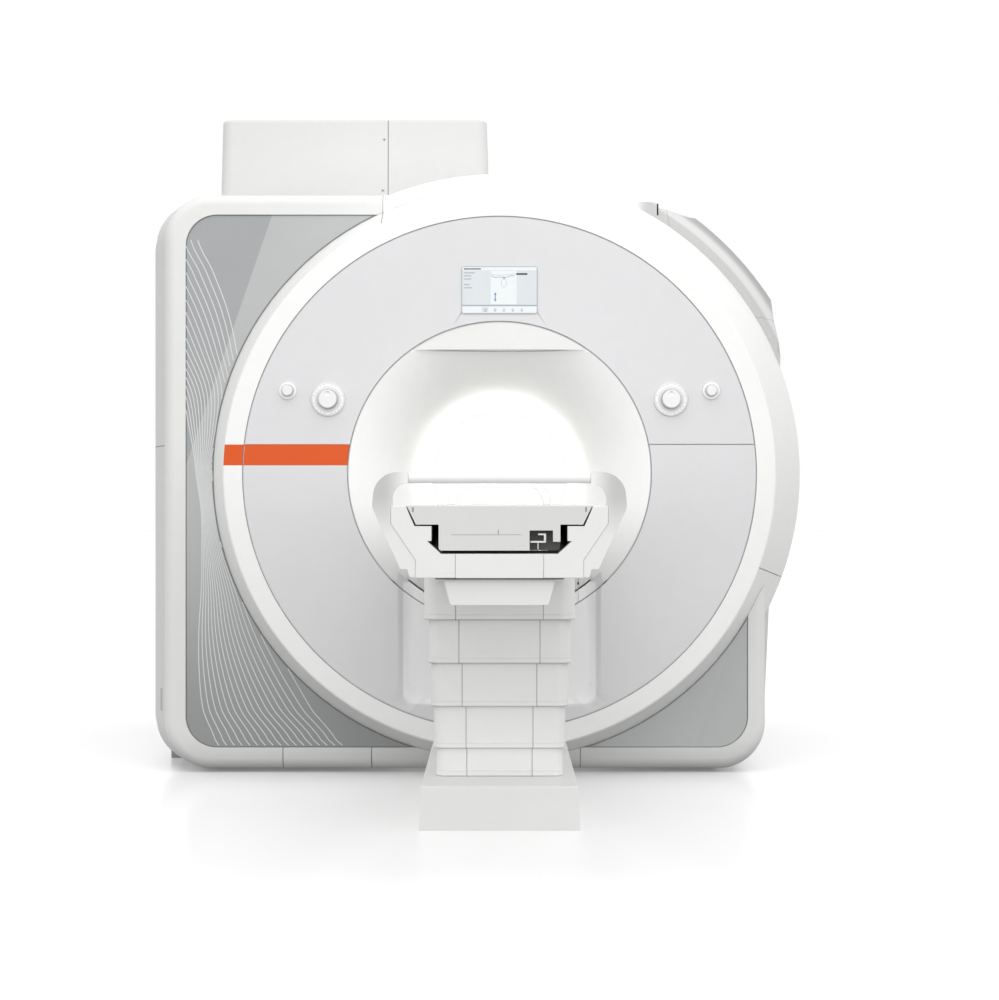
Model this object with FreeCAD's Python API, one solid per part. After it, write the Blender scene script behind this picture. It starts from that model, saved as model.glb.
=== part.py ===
import FreeCAD, Part
import math
import os

# Whole-body MRI scanner with its patient table, in millimetres.
# X runs to the right of a person facing the patient end, Y runs away into the bore, Z is up.
# The origin is on the floor, right under the magnet's isocentre.

V = FreeCAD.Vector

# ---- driving dimensions: bore and gantry ----
bore_radius = 300.0
axis_height = 1100.0
cover_length = 2130.0
liner_length = 1270.0
funnel_mouth_radius = 549.0
disk_radius = 929.0
ring_radius = 1000.0
ring_round = 4.0
flare_end_radius = 1134.0
housing_mouth_radius = 1100.0
flare_depth = 350.0
flare_flange_radius = 1020.0
flare_seam_angle = 20.0
cover_wall = 6.0
split_height = 1204.0
recess_half_width = 348.0
recess_bottom = 269.0
recess_depth = 25.0
visor_height = 446.0
visor_setback = 2.0
visor_depth = 120.0
recess_slope = 20.0
recess_corner = 60.0

# ---- housing around the magnet ----
plinth_setback = 598.0
plinth_inset = 60.0
plinth_frame_width = 90.0
curb_inset = 42.0
curb_size = 40.0
rim_depth = 130.0
rim_thickness_y = 50.0
rim_left = -1222.0
rim_right = 980.0
rim_bottom = 14.0
housing_top = 2128.0
housing_left = -1318.0
housing_shoulder_left = -1295.0
housing_right_low = 990.0
housing_right_mid = 1064.0
housing_right_top = 1056.0
housing_waist_z = 1602.0
shoulder_x = 734.0
shoulder_z = 2098.0
top_slope_x = 571.0
housing_end_depth = 1990.0
housing_corner = 180.0
rear_round = [(10.0, 45.0), (22.0, 15.0), (50.0, 0.0)]
rim_corner = 170.0
panel_left_x = -1154.0
panel_right_x = 914.0
panel_low = 93.0
panel_high = 2052.0
panel_corner = 115.0
panel_lap = 12.0
fairing_radius = 1256.0
fairing_start_radius = 1148.0
fairing_rise_radius = 1215.0
fairing_rise = 170.0
fairing_reach = 250.0
fairing_seam_x = 640.0
fairing_seam_z = 1693.0
rim_round = 40.0
skirt_reach = 120.0
skirt_inset = 600.0
top_split_x = -600.0
bottom_seam_a = -796.0
bottom_seam_b = -470.0
bottom_seam_c = 297.0
top_seam_x = -428.0
turret_left = -1114.0
turret_right = -42.0
turret_front_depth = 800.0
turret_length = 1000.0
turret_top = 2517.0
turret_seam_x = -443.0
turret_corner = 45.0
turret_lip = 40.0
turret_draft_x = 9.0
turret_draft_y = 6.0
turret_round = 12.0

# ---- magnet ----
vessel_radius = 960.0
vessel_bore_radius = 450.0
vessel_length = 1800.0
vessel_wall = 12.0
shield_gap = 35.0
shield_wall = 3.0
coil_width = 150.0
coil_height = 80.0
foot_spacing_x = 1440.0
foot_spacing_y = 1180.0
foot_plate = 25.0
anchor_hole = 26.0
foot_post_top = 700.0
neck_radius = 170.0
neck_wall = 8.0
neck_top = 2330.0
port_x = -640.0
port_radius = 75.0
port_wall = 6.0
port_top = 2160.0
quench_radius = 80.0
quench_wall = 4.0
quench_z = 2415.0
suspension_y = 600.0
suspension_radius = 8.0
main_coil_places = [90.0, 330.0, 600.0]
shield_coil_place = 650.0
gradient_inner = 345.0
gradient_length = 1240.0
cage_height = 8.0
cage_rung_half = 10.0
cage_length = 460.0
cage_ring = 40.0

# ---- controls and display ----
display_width = 275.0
display_height = 172.0
display_z = 1762.0
display_edge = 8.0
display_body_edge = 5.0
display_body_depth = 30.0
display_pocket_depth = 24.0
display_proud = 3.0
screen_proud = 1.5
jog_x = 620.0
jog_z = 1367.0
jog_radius = 33.5
jog_bezel_radius = 61.0
stop_x = 766.0
stop_z = 1398.0
stop_radius = 18.6
stop_bezel_radius = 31.6
stop_travel = 5.0
jog_shaft = 10.0
jog_height = 28.0
jog_bezel_height = 8.0
stop_stem = 7.0
stop_height = 14.0
stop_bezel_height = 6.0
bush_wall = 6.0
bush_length = 25.0

# ---- patient table ----
table_end_y = -3395.0
tabletop_length = 2310.0
tabletop_top = 987.0
tabletop_under = 940.0
tabletop_half_width = 237.0
tabletop_under_half = 214.0
keel_half_width = 156.0
keel_wall = 8.0
keel_end_block = 60.0
keel_bottom = 873.5
chassis_bottom = 802.5
beam_inner = 176.0
beam_width = 30.0
chassis_plate = 10.0
end_cover_depth = 60.0
end_cover_half = 279.0
end_cover_low_half = 216.0
end_cover_shoulder_z = 942.0
end_cover_flank_z = 849.0
centre_half = 113.0
centre_thickness = 12.0
centre_top_gap = 8.5
pan_top_half = 145.0
pan_low_half = 126.0
pan_bottom = 733.0
channel_gap = 4.0
dock_left = 77.0
dock_right = 137.0
dock_top = 925.0
dock_side_top = 896.0
dock_depth = 45.0
arch_top = 1062.0
arch_depth = 30.0
handle_z = 1060.0
handle_tube = 29.0
handle_reach = 325.0
handle_seam_x = 234.0
handle_setback = 2.0
arm_low_z = 826.0
arm_width = 51.0
column_front_y = -2151.0
column_depth = 700.0
column_halves = [237.0, 224.5, 215.5, 207.0, 199.5]
column_bottoms = [628.0, 491.0, 355.0, 223.0, 134.5]
column_corner = 46.0
column_wall = 5.0
column_parked = 148.0
column_head_gap = 4.0
column_stagger = 2.0
column_overlap = 33.0
column_flange = 6.0
lift_travel = 480.0
plinth_front_y = -2358.0
plinth_half = 245.0
plinth_height = 134.5
plinth_draft = 6.0
mast_width = 340.0
mast_length = 520.0
mast_wall = 8.0
mast_base = 20.0
mast_hole_x = 380.0
mast_hole_y = 590.0
mast_anchor_hole = 18.0

# ---- named clearances ----
seam = 0.8
slide_gap = 0.4
fit_gap = 0.3
disk_gap = 4.0
shadow_gap = 3.0

front_y = -cover_length / 2
rear_y = cover_length / 2
rim_y = front_y + rim_depth
side_start_y = rim_y + rim_thickness_y
body_y = front_y + flare_depth + seam
housing_end_y = front_y + housing_end_depth
flare_slope = (flare_end_radius - ring_radius) / flare_depth
turret_front_y = front_y + turret_front_depth
turret_rear_y = turret_front_y + turret_length
neck_x = -300.0
neck_y = turret_front_y + turret_length / 2
column_rear_y = column_front_y + column_depth
mast_y = (column_front_y + column_rear_y) / 2
chassis_rear_y = front_y - 7.0
rail_top = tabletop_under - fit_gap
far = 4000.0


# ---- helpers ----
def box(x0, x1, y0, y1, z0, z1):
    return Part.makeBox(x1 - x0, y1 - y0, z1 - z0, V(x0, y0, z0))


def rod_y(radius, y0, y1, x=0.0, z=axis_height):
    return Part.makeCylinder(radius, y1 - y0, V(x, y0, z), V(0, 1, 0))


def rod_z(radius, z0, z1, x, y):
    return Part.makeCylinder(radius, z1 - z0, V(x, y, z0))


def tube_y(outer, inner, y0, y1, x=0.0, z=axis_height):
    return rod_y(outer, y0, y1, x, z).cut(rod_y(inner, y0 - 1, y1 + 1, x, z))


def turned(edges):
    """Solid turned about the bore axis from edges drawn in the plane of the axis."""
    face = Part.Face(Part.Wire(edges))
    return face.revolve(V(0, 0, axis_height), V(0, 1, 0), 360)


def at(radius, y):
    return V(radius, y, axis_height)


def turned_polygon(points):
    corners = [at(r, y) for r, y in points]
    return turned([Part.makeLine(a, b) for a, b in zip(corners, corners[1:] + corners[:1])])


def rounded_wire(corners, place):
    """Closed wire through corners (u, v, radius), rounded by each radius; place maps u, v to space."""
    edges = []
    starts = []
    ends = []
    count = len(corners)
    for i, (u, v, radius) in enumerate(corners):
        before = V(*corners[i - 1][:2], 0)
        after = V(*corners[(i + 1) % count][:2], 0)
        here = V(u, v, 0)
        to_before = (before - here).normalize()
        to_after = (after - here).normalize()
        half = to_before.getAngle(to_after) / 2
        reach = radius / math.tan(half)
        middle = (to_before + to_after).normalize()
        top = here + middle * (radius / math.sin(half) - radius)
        starts.append(here + to_before * reach)
        ends.append(here + to_after * reach)
        if radius > 0:
            arc = Part.Arc(place(starts[i]), place(top), place(ends[i]))
            edges.append((i, arc.toShape()))
    ordered = []
    arcs = dict(edges)
    for i in range(count):
        if i in arcs:
            ordered.append(arcs[i])
        start = ends[i]
        stop = starts[(i + 1) % count]
        if (stop - start).Length > 1e-6:
            ordered.append(Part.makeLine(place(start), place(stop)))
    return Part.Wire(ordered)


def outline_y(corners, y):
    return rounded_wire(corners, lambda p: V(p.x, y, p.y))


def outline_z(corners, z):
    return rounded_wire(corners, lambda p: V(p.x, p.y, z))


def prism_y(corners, y0, y1):
    return Part.Face(outline_y(corners, y0)).extrude(V(0, y1 - y0, 0))


def prism_z(corners, z0, z1):
    return Part.Face(outline_z(corners, z0)).extrude(V(0, 0, z1 - z0))


def sharp(points):
    return [(u, v, 0.0) for u, v in points]


def rectangle(u0, u1, v0, v1, radius=0.0):
    return [(u0, v0, radius), (u1, v0, radius), (u1, v1, radius), (u0, v1, radius)]


def mirrored(shape):
    return shape.mirror(V(0, 0, 0), V(1, 0, 0))


def both_sides(shape):
    return Part.makeCompound([shape, mirrored(shape)])


def fused(shapes):
    whole = shapes[0]
    for piece in shapes[1:]:
        whole = whole.fuse(piece)
    return whole.removeSplitter()


def round_edges(shape, radius, wanted):
    edges = [edge for edge in shape.Edges if wanted(edge.BoundBox)]
    return shape.makeFillet(radius, edges)


def save(name, shape):
    solids = shape.Solids
    kept = solids[0] if len(solids) == 1 else Part.makeCompound(solids)
    kept.exportStep("parts/" + name + ".step")
    box_ = kept.BoundBox
    spans = [round(v, 1) for v in (box_.XMin, box_.XMax, box_.YMin, box_.YMax, box_.ZMin, box_.ZMax)]
    print(name, len(solids), kept.isValid(), round(kept.Volume / 1e6, 3), spans)


# ---- bore, funnels and front disk ----
def funnel_arc_radius():
    """Radius of the funnel wall's arc: it leaves the bore tangentially and reaches the mouth radius."""
    depth = (cover_length - liner_length) / 2
    rise = funnel_mouth_radius - disk_gap / 2 - bore_radius
    return (rise * rise + depth * depth) / (2 * rise)


def funnel_radius_at(y, offset=0.0):
    """Radius of the funnel wall at a place along the axis; offset moves to the back of the wall."""
    arc = funnel_arc_radius()
    along = abs(y) - liner_length / 2
    return bore_radius + arc - math.sqrt((arc - offset) ** 2 - along**2)


def funnel_shell():
    """Front funnel wall with a short lip at its mouth."""
    throat_y = -liner_length / 2
    lip_y = front_y + 2 * cover_wall
    middle_y = (front_y + throat_y) / 2
    back_middle_y = (lip_y + throat_y) / 2
    mouth = funnel_radius_at(front_y)
    lip_back = funnel_radius_at(lip_y, cover_wall)
    middle = at(funnel_radius_at(middle_y), middle_y)
    back_middle = at(funnel_radius_at(back_middle_y, cover_wall), back_middle_y)
    points = [
        at(mouth, front_y),
        at(bore_radius, throat_y),
        at(bore_radius + cover_wall, throat_y),
        at(lip_back, lip_y),
        at(mouth, lip_y),
    ]
    edges = [
        Part.Arc(points[0], middle, points[1]).toShape(),
        Part.makeLine(points[1], points[2]),
        Part.Arc(points[2], back_middle, points[3]).toShape(),
        Part.makeLine(points[3], points[4]),
        Part.makeLine(points[4], points[0]),
    ]
    return turned(edges)


def funnel_void(shrink=0.0):
    """Everything inside the two funnels and the liner, for cutting pieces to the bore."""
    throat_y = liner_length / 2
    middle_y = (rear_y + throat_y) / 2
    front = [
        at(0, front_y),
        at(funnel_radius_at(front_y) - shrink, front_y),
        at(funnel_radius_at(middle_y) - shrink, -middle_y),
        at(bore_radius - shrink, -throat_y),
        at(bore_radius - shrink, throat_y),
        at(funnel_radius_at(middle_y) - shrink, middle_y),
        at(funnel_radius_at(rear_y) - shrink, rear_y),
        at(0, rear_y),
    ]
    return turned(
        [
            Part.makeLine(front[0], front[1]),
            Part.Arc(front[1], front[2], front[3]).toShape(),
            Part.makeLine(front[3], front[4]),
            Part.Arc(front[4], front[5], front[6]).toShape(),
            Part.makeLine(front[6], front[7]),
            Part.makeLine(front[7], front[0]),
        ]
    )


def recess_cutter(grow, deeper):
    """Shallow dish in the lower front, where the table's head end comes down; its walls slope."""
    slope = recess_slope
    front = rectangle(
        -recess_half_width - slope - grow,
        recess_half_width + slope + grow,
        recess_bottom - slope - grow,
        axis_height,
        recess_corner,
    )
    back = rectangle(
        -recess_half_width + slope - grow,
        recess_half_width - slope + grow,
        recess_bottom + slope - grow,
        axis_height,
        recess_corner,
    )
    depth = recess_depth + deeper
    wires = [outline_y(front, front_y - 0.01), outline_y(back, front_y + depth)]
    return Part.makeLoft(wires, True, True)


def front_funnel():
    """Funnel moulding with the visor that carries the bore lights over the mouth."""
    mouth = funnel_radius_at(front_y)
    chord_z = axis_height + visor_height
    y0 = front_y + visor_setback
    y1 = front_y + visor_depth
    segment = rod_y(mouth, y0, y1).common(box(-far, far, -far, far, chord_z, far))
    hollow = rod_y(mouth - cover_wall, y0 + cover_wall, y1 + 1)
    hollow = hollow.common(box(-far, far, -far, far, chord_z + cover_wall, far))
    visor = segment.cut(hollow).common(funnel_void())
    moulding = fused([funnel_shell(), visor])
    return moulding.cut(recess_cutter(0.0, cover_wall + shadow_gap))


def rear_funnel():
    return funnel_shell().mirror(V(0, 0, 0), V(0, 1, 0))


def bore_liner():
    half = liner_length / 2 - slide_gap
    return tube_y(bore_radius + cover_wall, bore_radius, -half, half)


def front_disk():
    inner = funnel_mouth_radius + disk_gap / 2
    outer = disk_radius - disk_gap / 2
    return tube_y(outer, inner, front_y, front_y + cover_wall)


def front_cover_upper():
    cover = front_disk().common(box(-far, far, -far, far, split_height + seam / 2, far))
    trim = 2 * display_body_edge
    cover = cover.cut(display_block(display_width - trim, display_height - trim, front_y - 1, front_y + 20))
    for side in (-1, 1):
        cover = cover.cut(rod_y(jog_radius, front_y - 1, front_y + 20, side * jog_x, jog_z))
        cover = cover.cut(rod_y(stop_radius, front_y - 1, front_y + 20, side * stop_x, stop_z))
    return cover


def front_cover_lower():
    """Lower half of the disk with the dish formed into it."""
    floor_y = front_y + recess_depth
    disk = front_disk().common(box(-far, far, -far, far, -far, split_height - seam / 2))
    dish = recess_cutter(cover_wall, cover_wall).cut(recess_cutter(0.0, 0.0))
    dish = dish.common(box(-far, far, front_y, far, -far, axis_height - 100))
    dish = dish.cut(rod_y(funnel_radius_at(floor_y) + shadow_gap, front_y - 1, floor_y + 50))
    funnel = funnel_shell().fuse(funnel_void()).cut(recess_cutter(0.0, cover_wall + shadow_gap))
    dish = dish.cut(funnel)
    return fused([disk.cut(recess_cutter(0.0, cover_wall)), dish])


def front_ring():
    inner = disk_radius + disk_gap / 2
    ring = tube_y(ring_radius, inner, front_y, front_y + cover_wall)
    return round_edges(ring, ring_round, lambda b: b.YMax < front_y + 0.1 and b.XMax > ring_radius - 0.1)


# ---- flared ring edge ----
def cone_radius(y, offset=0.0):
    return ring_radius + flare_slope * (y - front_y) + offset


def flare_body():
    """Conical shell behind the ring, closed by a flange at its back."""
    start = front_y + cover_wall + seam
    end = front_y + flare_depth
    shell = [
        (cone_radius(start), start),
        (cone_radius(end), end),
        (flare_flange_radius, end),
        (flare_flange_radius, end - cover_wall),
        (cone_radius(end - cover_wall) - cover_wall, end - cover_wall),
        (cone_radius(start) - cover_wall, start),
    ]
    return turned_polygon(shell).cut(box(-far, far, -far, far, -far, rim_bottom + cover_wall + seam))


def flare_region():
    """Plan of the upper flare piece along the bore: from the top seam round to the right seam."""
    drop = math.tan(math.radians(flare_seam_angle))
    reach = flare_end_radius + 2 * rim_depth
    points = [
        (top_seam_x, axis_height),
        (0.0, axis_height),
        (reach, axis_height - drop * reach),
        (reach, axis_height + reach),
        (top_seam_x, axis_height + reach),
    ]
    return outline_y(sharp(points), front_y)


def flare_upper():
    face = Part.Face(flare_region())
    return flare_body().common(face.extrude(V(0, flare_depth + 10, 0)))


def flare_lower():
    face = Part.Face(flare_region().makeOffset2D(seam, 2, False, False, True))
    return flare_body().cut(face.extrude(V(0, flare_depth + 10, 0)))


def ring_clearance():
    """Space that the flare passes through, plus the opening behind it for the magnet."""
    start = front_y - 5
    end = body_y - seam / 4
    foot = V(0, start, axis_height)
    cone = Part.makeCone(cone_radius(start, seam), cone_radius(end, seam), end - start, foot, V(0, 1, 0))
    return cone.fuse(rod_y(housing_mouth_radius, end - 1, end + 2 * cover_wall))


# ---- housing shell, carved into its covers ----
def rim_outline(left, inset):
    radius = rim_corner - inset
    return rectangle(left + inset, rim_right - inset, rim_bottom + inset, housing_top - inset, radius)


def front_block(inset):
    """Front part of the housing, from the rim back to the shoulder; the left side flares outwards."""
    back_y = body_y + (2 * cover_wall if inset else 0.0)
    wires = [
        outline_y(rim_outline(rim_left, inset), rim_y + inset),
        outline_y(rim_outline(housing_shoulder_left, inset), back_y),
    ]
    block = Part.makeLoft(wires, True, True)
    block = round_edges(block, rim_round - inset, lambda b: b.YMax < rim_y + inset + 0.1)
    return block.cut(box(-inset, far, -far, far, axis_height - inset, far))


def body_corners(left, inset):
    i = inset
    return [
        (left + i, rim_bottom + i, housing_corner - i),
        (housing_right_low - i, rim_bottom + i, housing_corner - i),
        (housing_right_mid - i, housing_waist_z, 60.0),
        (housing_right_top - i, fairing_seam_z + 1, 40.0),
        (housing_right_top - i, shoulder_z - i, 0.0),
        (shoulder_x, shoulder_z - i, 20.0),
        (top_slope_x, housing_top - i, 60.0),
        (left + i, housing_top - i, housing_corner - i),
    ]


def fairing_limit(inset):
    """Turned solid that rounds off the right corner, concentric with the bore and above the split."""
    start = body_y - 1
    profile = [
        (0.0, start),
        (fairing_start_radius - inset, start),
        (fairing_rise_radius - inset, body_y + fairing_rise),
        (fairing_radius - inset, body_y + fairing_reach),
        (fairing_radius - inset, rear_y + 10),
        (0.0, rear_y + 10),
    ]
    return turned_polygon(profile)


def trim_corner(block, inset):
    corner = box(skirt_inset, far, body_y - 1, rear_y + 5, split_height, far)
    return block.cut(corner.cut(fairing_limit(inset)))


def body_block(inset):
    wires = [
        outline_y(body_corners(housing_shoulder_left, inset), body_y + inset),
        outline_y(body_corners(housing_left, inset), body_y + skirt_reach),
        outline_y(body_corners(housing_left, inset), housing_end_y + (1.0 if inset else 0.0)),
    ]
    return trim_corner(Part.makeLoft(wires, True, True), inset)


def housing_shell():
    outer = front_block(0.0).fuse(body_block(0.0))
    inner = front_block(cover_wall).fuse(body_block(cover_wall))
    shell = outer.cut(inner).cut(ring_clearance())
    opening = rectangle(panel_left_x, panel_right_x, panel_low, panel_high, panel_corner)
    shell = shell.cut(prism_y(opening, rim_y - 1, rim_y + 2 * cover_wall))
    under_left = housing_left + housing_corner
    under_right = housing_right_low - housing_corner
    under = box(under_left, under_right, side_start_y, far, 0.0, rim_bottom + cover_wall)
    shell = shell.cut(under)
    lip = turret_lip
    hatch = rectangle(
        turret_left + lip, turret_right - lip, turret_front_y + lip, turret_rear_y - lip, turret_corner
    )
    return shell.cut(prism_z(hatch, housing_top - 50, housing_top + 5))


def housing_covers():
    """Name and region box of each cover carved from the housing shell."""
    g = seam / 2
    side_y = side_start_y + g
    rim_end = side_start_y - g
    mid_z = axis_height
    return {
        "rim_left": [
            box(-far, top_seam_x - g, -far, rim_end, mid_z, far),
            box(-far, bottom_seam_a - g, -far, rim_end, -far, mid_z),
        ],
        "rim_bottom": [
            box(bottom_seam_a + g, bottom_seam_b - g, -far, rim_end, -far, mid_z),
            box(bottom_seam_b + g, bottom_seam_c - g, -far, rim_end, -far, mid_z),
        ],
        "rim_right": [box(bottom_seam_c + g, far, -far, rim_end, -far, mid_z)],
        "side_cover_left_upper": [box(-far, top_split_x - g, side_y, far, split_height + g, far)],
        "side_cover_left_lower": [box(-far, 0.0, side_y, far, -far, split_height - g)],
        "top_cover": [
            box(top_split_x + g, fairing_seam_x - g, side_y, far, mid_z, far),
            box(top_seam_x + g, far, -far, side_y, mid_z, far),
        ],
        "corner_fairing": [box(fairing_seam_x + g, far, side_y, far, fairing_seam_z + g, far)],
        "side_cover_right": [box(0.0, far, side_y, far, -far, fairing_seam_z - g)],
    }


def save_housing():
    shell = housing_shell()
    for name, regions in housing_covers().items():
        if name == "rim_bottom":
            pieces = [shell.common(region) for region in regions]
            save(name, Part.makeCompound([s for piece in pieces for s in piece.Solids]))
            continue
        region = regions[0] if len(regions) == 1 else regions[0].fuse(regions[1]).removeSplitter()
        cover = shell.common(region)
        save(name, cover)


def panel(left):
    """Flat decor panel that seats against the back of the rim."""
    lap = panel_lap
    plate = rectangle(
        panel_left_x - lap, panel_right_x + lap, panel_low - lap, panel_high + lap, panel_corner + lap
    )
    plate = prism_y(plate, rim_y + cover_wall, rim_y + 2 * cover_wall).cut(ring_clearance())
    if left:
        return plate.common(box(-far, 0.0, -far, far, -far, far))
    return plate.common(box(0.0, far, -far, far, -far, axis_height))


def rear_cover():
    """Rear cover, stepped in from the housing, with the mouth of the rear funnel."""
    start = housing_end_y + seam
    stations = [(step, rear_y - back) for step, back in rear_round]
    stations = [(0.0, start)] + stations

    def block(inset, shift):
        wires = [outline_y(body_corners(housing_left, inset + step), y + shift) for step, y in stations]
        loft = Part.makeLoft(wires, True, True)
        corner = box(skirt_inset, far, start - 20, rear_y + 5, split_height, far)
        return loft.cut(corner.cut(rod_y(fairing_radius - inset, start - 25, rear_y + 20)))

    shell = block(0.0, 0.0).cut(block(cover_wall, -cover_wall))
    shell = shell.cut(box(-far, far, -far, start, -far, far))
    return shell.cut(rod_y(funnel_mouth_radius + seam - disk_gap / 2, start, rear_y + 5))


# ---- turret on top ----
def turret_block(inset):
    left = turret_left + inset
    right = turret_right - inset
    front = turret_front_y + inset
    rear = turret_rear_y - inset
    corner = turret_corner - inset
    base = rectangle(left, right, front, rear, corner)
    dx = turret_draft_x
    dy = turret_draft_y
    top = rectangle(left + dx, right - dx, front + dy, rear - dy, corner)
    base_z = housing_top + (seam if inset == 0 else -5)
    wires = [outline_z(base, base_z), outline_z(top, turret_top - inset)]
    block = Part.makeLoft(wires, True, True)
    if inset == 0:
        block = round_edges(block, turret_round, lambda b: b.ZMin > turret_top - 0.1)
    return block


def turret_covers():
    shell = turret_block(0.0).cut(turret_block(cover_wall))
    pipe_hole = rod_y(quench_radius + seam, neck_y, turret_rear_y + 50, neck_x, quench_z)
    shell = shell.cut(pipe_hole)
    g = seam / 2
    left = shell.common(box(-far, turret_seam_x - g, -far, far, -far, far))
    right = shell.common(box(turret_seam_x + g, far, -far, far, -far, far))
    return left, right


# ---- magnet inside ----

def annular_can(outer, inner, length, wall):
    """Closed hollow ring-shaped vessel: two tubes joined by end plates."""
    half = length / 2
    body = tube_y(outer, inner, -half, half)
    void = tube_y(outer - wall, inner + wall, -half + wall, half - wall)
    return body.cut(void)


def vacuum_vessel():
    half = vessel_length / 2
    solid = tube_y(vessel_radius, vessel_bore_radius, -half, half)
    neck = rod_z(neck_radius, axis_height + 700, neck_top, neck_x, neck_y)
    port = rod_z(port_radius, axis_height + 500, port_top, port_x, neck_y)
    whole = solid.fuse(neck).fuse(port)
    inside = half - vessel_wall
    void = tube_y(vessel_radius - vessel_wall, vessel_bore_radius + vessel_wall, -inside, inside)
    neck_void = rod_z(neck_radius - neck_wall, axis_height + 700, neck_top - 15, neck_x, neck_y)
    port_void = rod_z(port_radius - port_wall, axis_height + 500, port_top - vessel_wall, port_x, neck_y)
    return whole.cut(void.fuse(neck_void).fuse(port_void)).removeSplitter()


def shield_radii():
    outer = vessel_radius - vessel_wall - shield_gap
    inner = vessel_bore_radius + vessel_wall + shield_gap / 2
    return outer, inner


def helium_radii():
    outer, inner = shield_radii()
    return outer - shield_gap, inner + shield_gap / 2


def rod_angles():
    return [45.0, 135.0, 225.0, 315.0]


def suspension_rods(grow=0.0):
    """Radial rods that hang the helium vessel inside the vacuum vessel."""
    radius = suspension_radius + grow
    start = helium_radii()[0] + fit_gap
    end = vessel_radius - vessel_wall - fit_gap
    rods = []
    for y in (-suspension_y, suspension_y):
        for angle in rod_angles():
            way = V(math.cos(math.radians(angle)), 0, math.sin(math.radians(angle)))
            foot = V(0, y, axis_height) + way * start
            rods.append(Part.makeCylinder(radius, end - start, foot, way))
    return Part.makeCompound(rods)


def thermal_shield():
    outer, inner = shield_radii()
    length = vessel_length - 2 * vessel_wall - shield_gap
    shell = annular_can(outer, inner, length, shield_wall)
    for rod in suspension_rods(fit_gap).Solids:
        shell = shell.cut(rod)
    return shell


def helium_vessel():
    outer, inner = helium_radii()
    length = vessel_length - 2 * vessel_wall - 2 * shield_gap
    return annular_can(outer, inner, length, vessel_wall / 1.5)


def magnet_coils():
    """Six main coils on the inner tube and two shield coils under the outer tube."""
    outer, inner = helium_radii()
    wall = vessel_wall / 1.5
    coil_in = inner + wall + fit_gap
    half = coil_width / 2
    coils = []
    for place in main_coil_places:
        for middle in (-place, place):
            coils.append(tube_y(coil_in + coil_height, coil_in, middle - half, middle + half))
    shield_out = outer - wall - fit_gap
    for middle in (-shield_coil_place, shield_coil_place):
        coils.append(tube_y(shield_out, shield_out - coil_height, middle - half, middle + half))
    return Part.makeCompound(coils)


def gradient_coil():
    half = gradient_length / 2
    return tube_y(vessel_bore_radius - slide_gap, gradient_inner, -half, half)


def rf_body_coil():
    """Birdcage on the liner: two end rings joined by sixteen rungs."""
    inner = bore_radius + cover_wall + slide_gap
    outer = inner + cage_height
    half = cage_length / 2
    width = cage_rung_half
    rungs = []
    for i in range(16):
        rung = box(-width, width, -half, half, axis_height, axis_height + outer + 20)
        rung.rotate(V(0, 0, axis_height), V(0, 1, 0), i * 22.5)
        rungs.append(rung)
    cage = fused(rungs).common(tube_y(outer, inner, -half, half))
    end_ring = tube_y(outer, inner, half - 1, half + cage_ring)
    return fused([cage, end_ring, end_ring.mirror(V(0, 0, 0), V(0, 1, 0))])


def magnet_feet():
    """Four cast feet under the vessel, each with one floor anchor hole outboard."""
    feet = []
    vessel = rod_y(vessel_radius + fit_gap, -vessel_length / 2, vessel_length / 2)
    for side_x in (-1, 1):
        for side_y in (-1, 1):
            x = side_x * foot_spacing_x / 2
            y = side_y * foot_spacing_y / 2
            inboard = x - side_x * 160
            low = min(x, inboard) - 90
            high = max(x, inboard) + 90
            plate = prism_z(rectangle(low, high, y - 110, y + 110, 20), 0, foot_plate)
            post = box(inboard - 80, inboard + 80, y - 90, y + 90, foot_plate - 1, foot_post_top)
            foot = fused([plate, post.cut(vessel)])
            feet.append(foot.cut(rod_z(anchor_hole / 2, -1, foot_plate + 1, x, y)))
    return Part.makeCompound([foot.Solids[0] for foot in feet])


def cold_head():
    """Cryocooler on the port: flange, drive housing and motor."""
    z = port_top + fit_gap
    pieces = [
        rod_z(95.0, z, z + 18, port_x, neck_y),
        rod_z(62.0, z + 18, z + 150, port_x, neck_y),
        rod_z(72.0, z + 150, z + 190, port_x, neck_y),
        box(port_x - 60, port_x + 60, neck_y - 60, neck_y + 130, z + 190, z + 290),
    ]
    return fused(pieces)


def quench_pipe():
    """Burst-disk housing and elbow from the neck to the back of the turret."""
    foot = rod_z(quench_radius + 25, neck_top + fit_gap, neck_top + 18, neck_x, neck_y)
    riser = rod_z(quench_radius, neck_top + 10, quench_z, neck_x, neck_y)
    elbow = Part.makeSphere(quench_radius, V(neck_x, neck_y, quench_z))
    run = rod_y(quench_radius, neck_y, turret_rear_y + 20, neck_x, quench_z)
    outside = fused([foot, riser, elbow, run])
    bore_up = rod_z(quench_radius - quench_wall, neck_top - 1, quench_z, neck_x, neck_y)
    bore_ball = Part.makeSphere(quench_radius - quench_wall, V(neck_x, neck_y, quench_z))
    bore_run = rod_y(quench_radius - quench_wall, neck_y, turret_rear_y + 21, neck_x, quench_z)
    return outside.cut(fused([bore_up, bore_ball, bore_run]))


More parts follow.
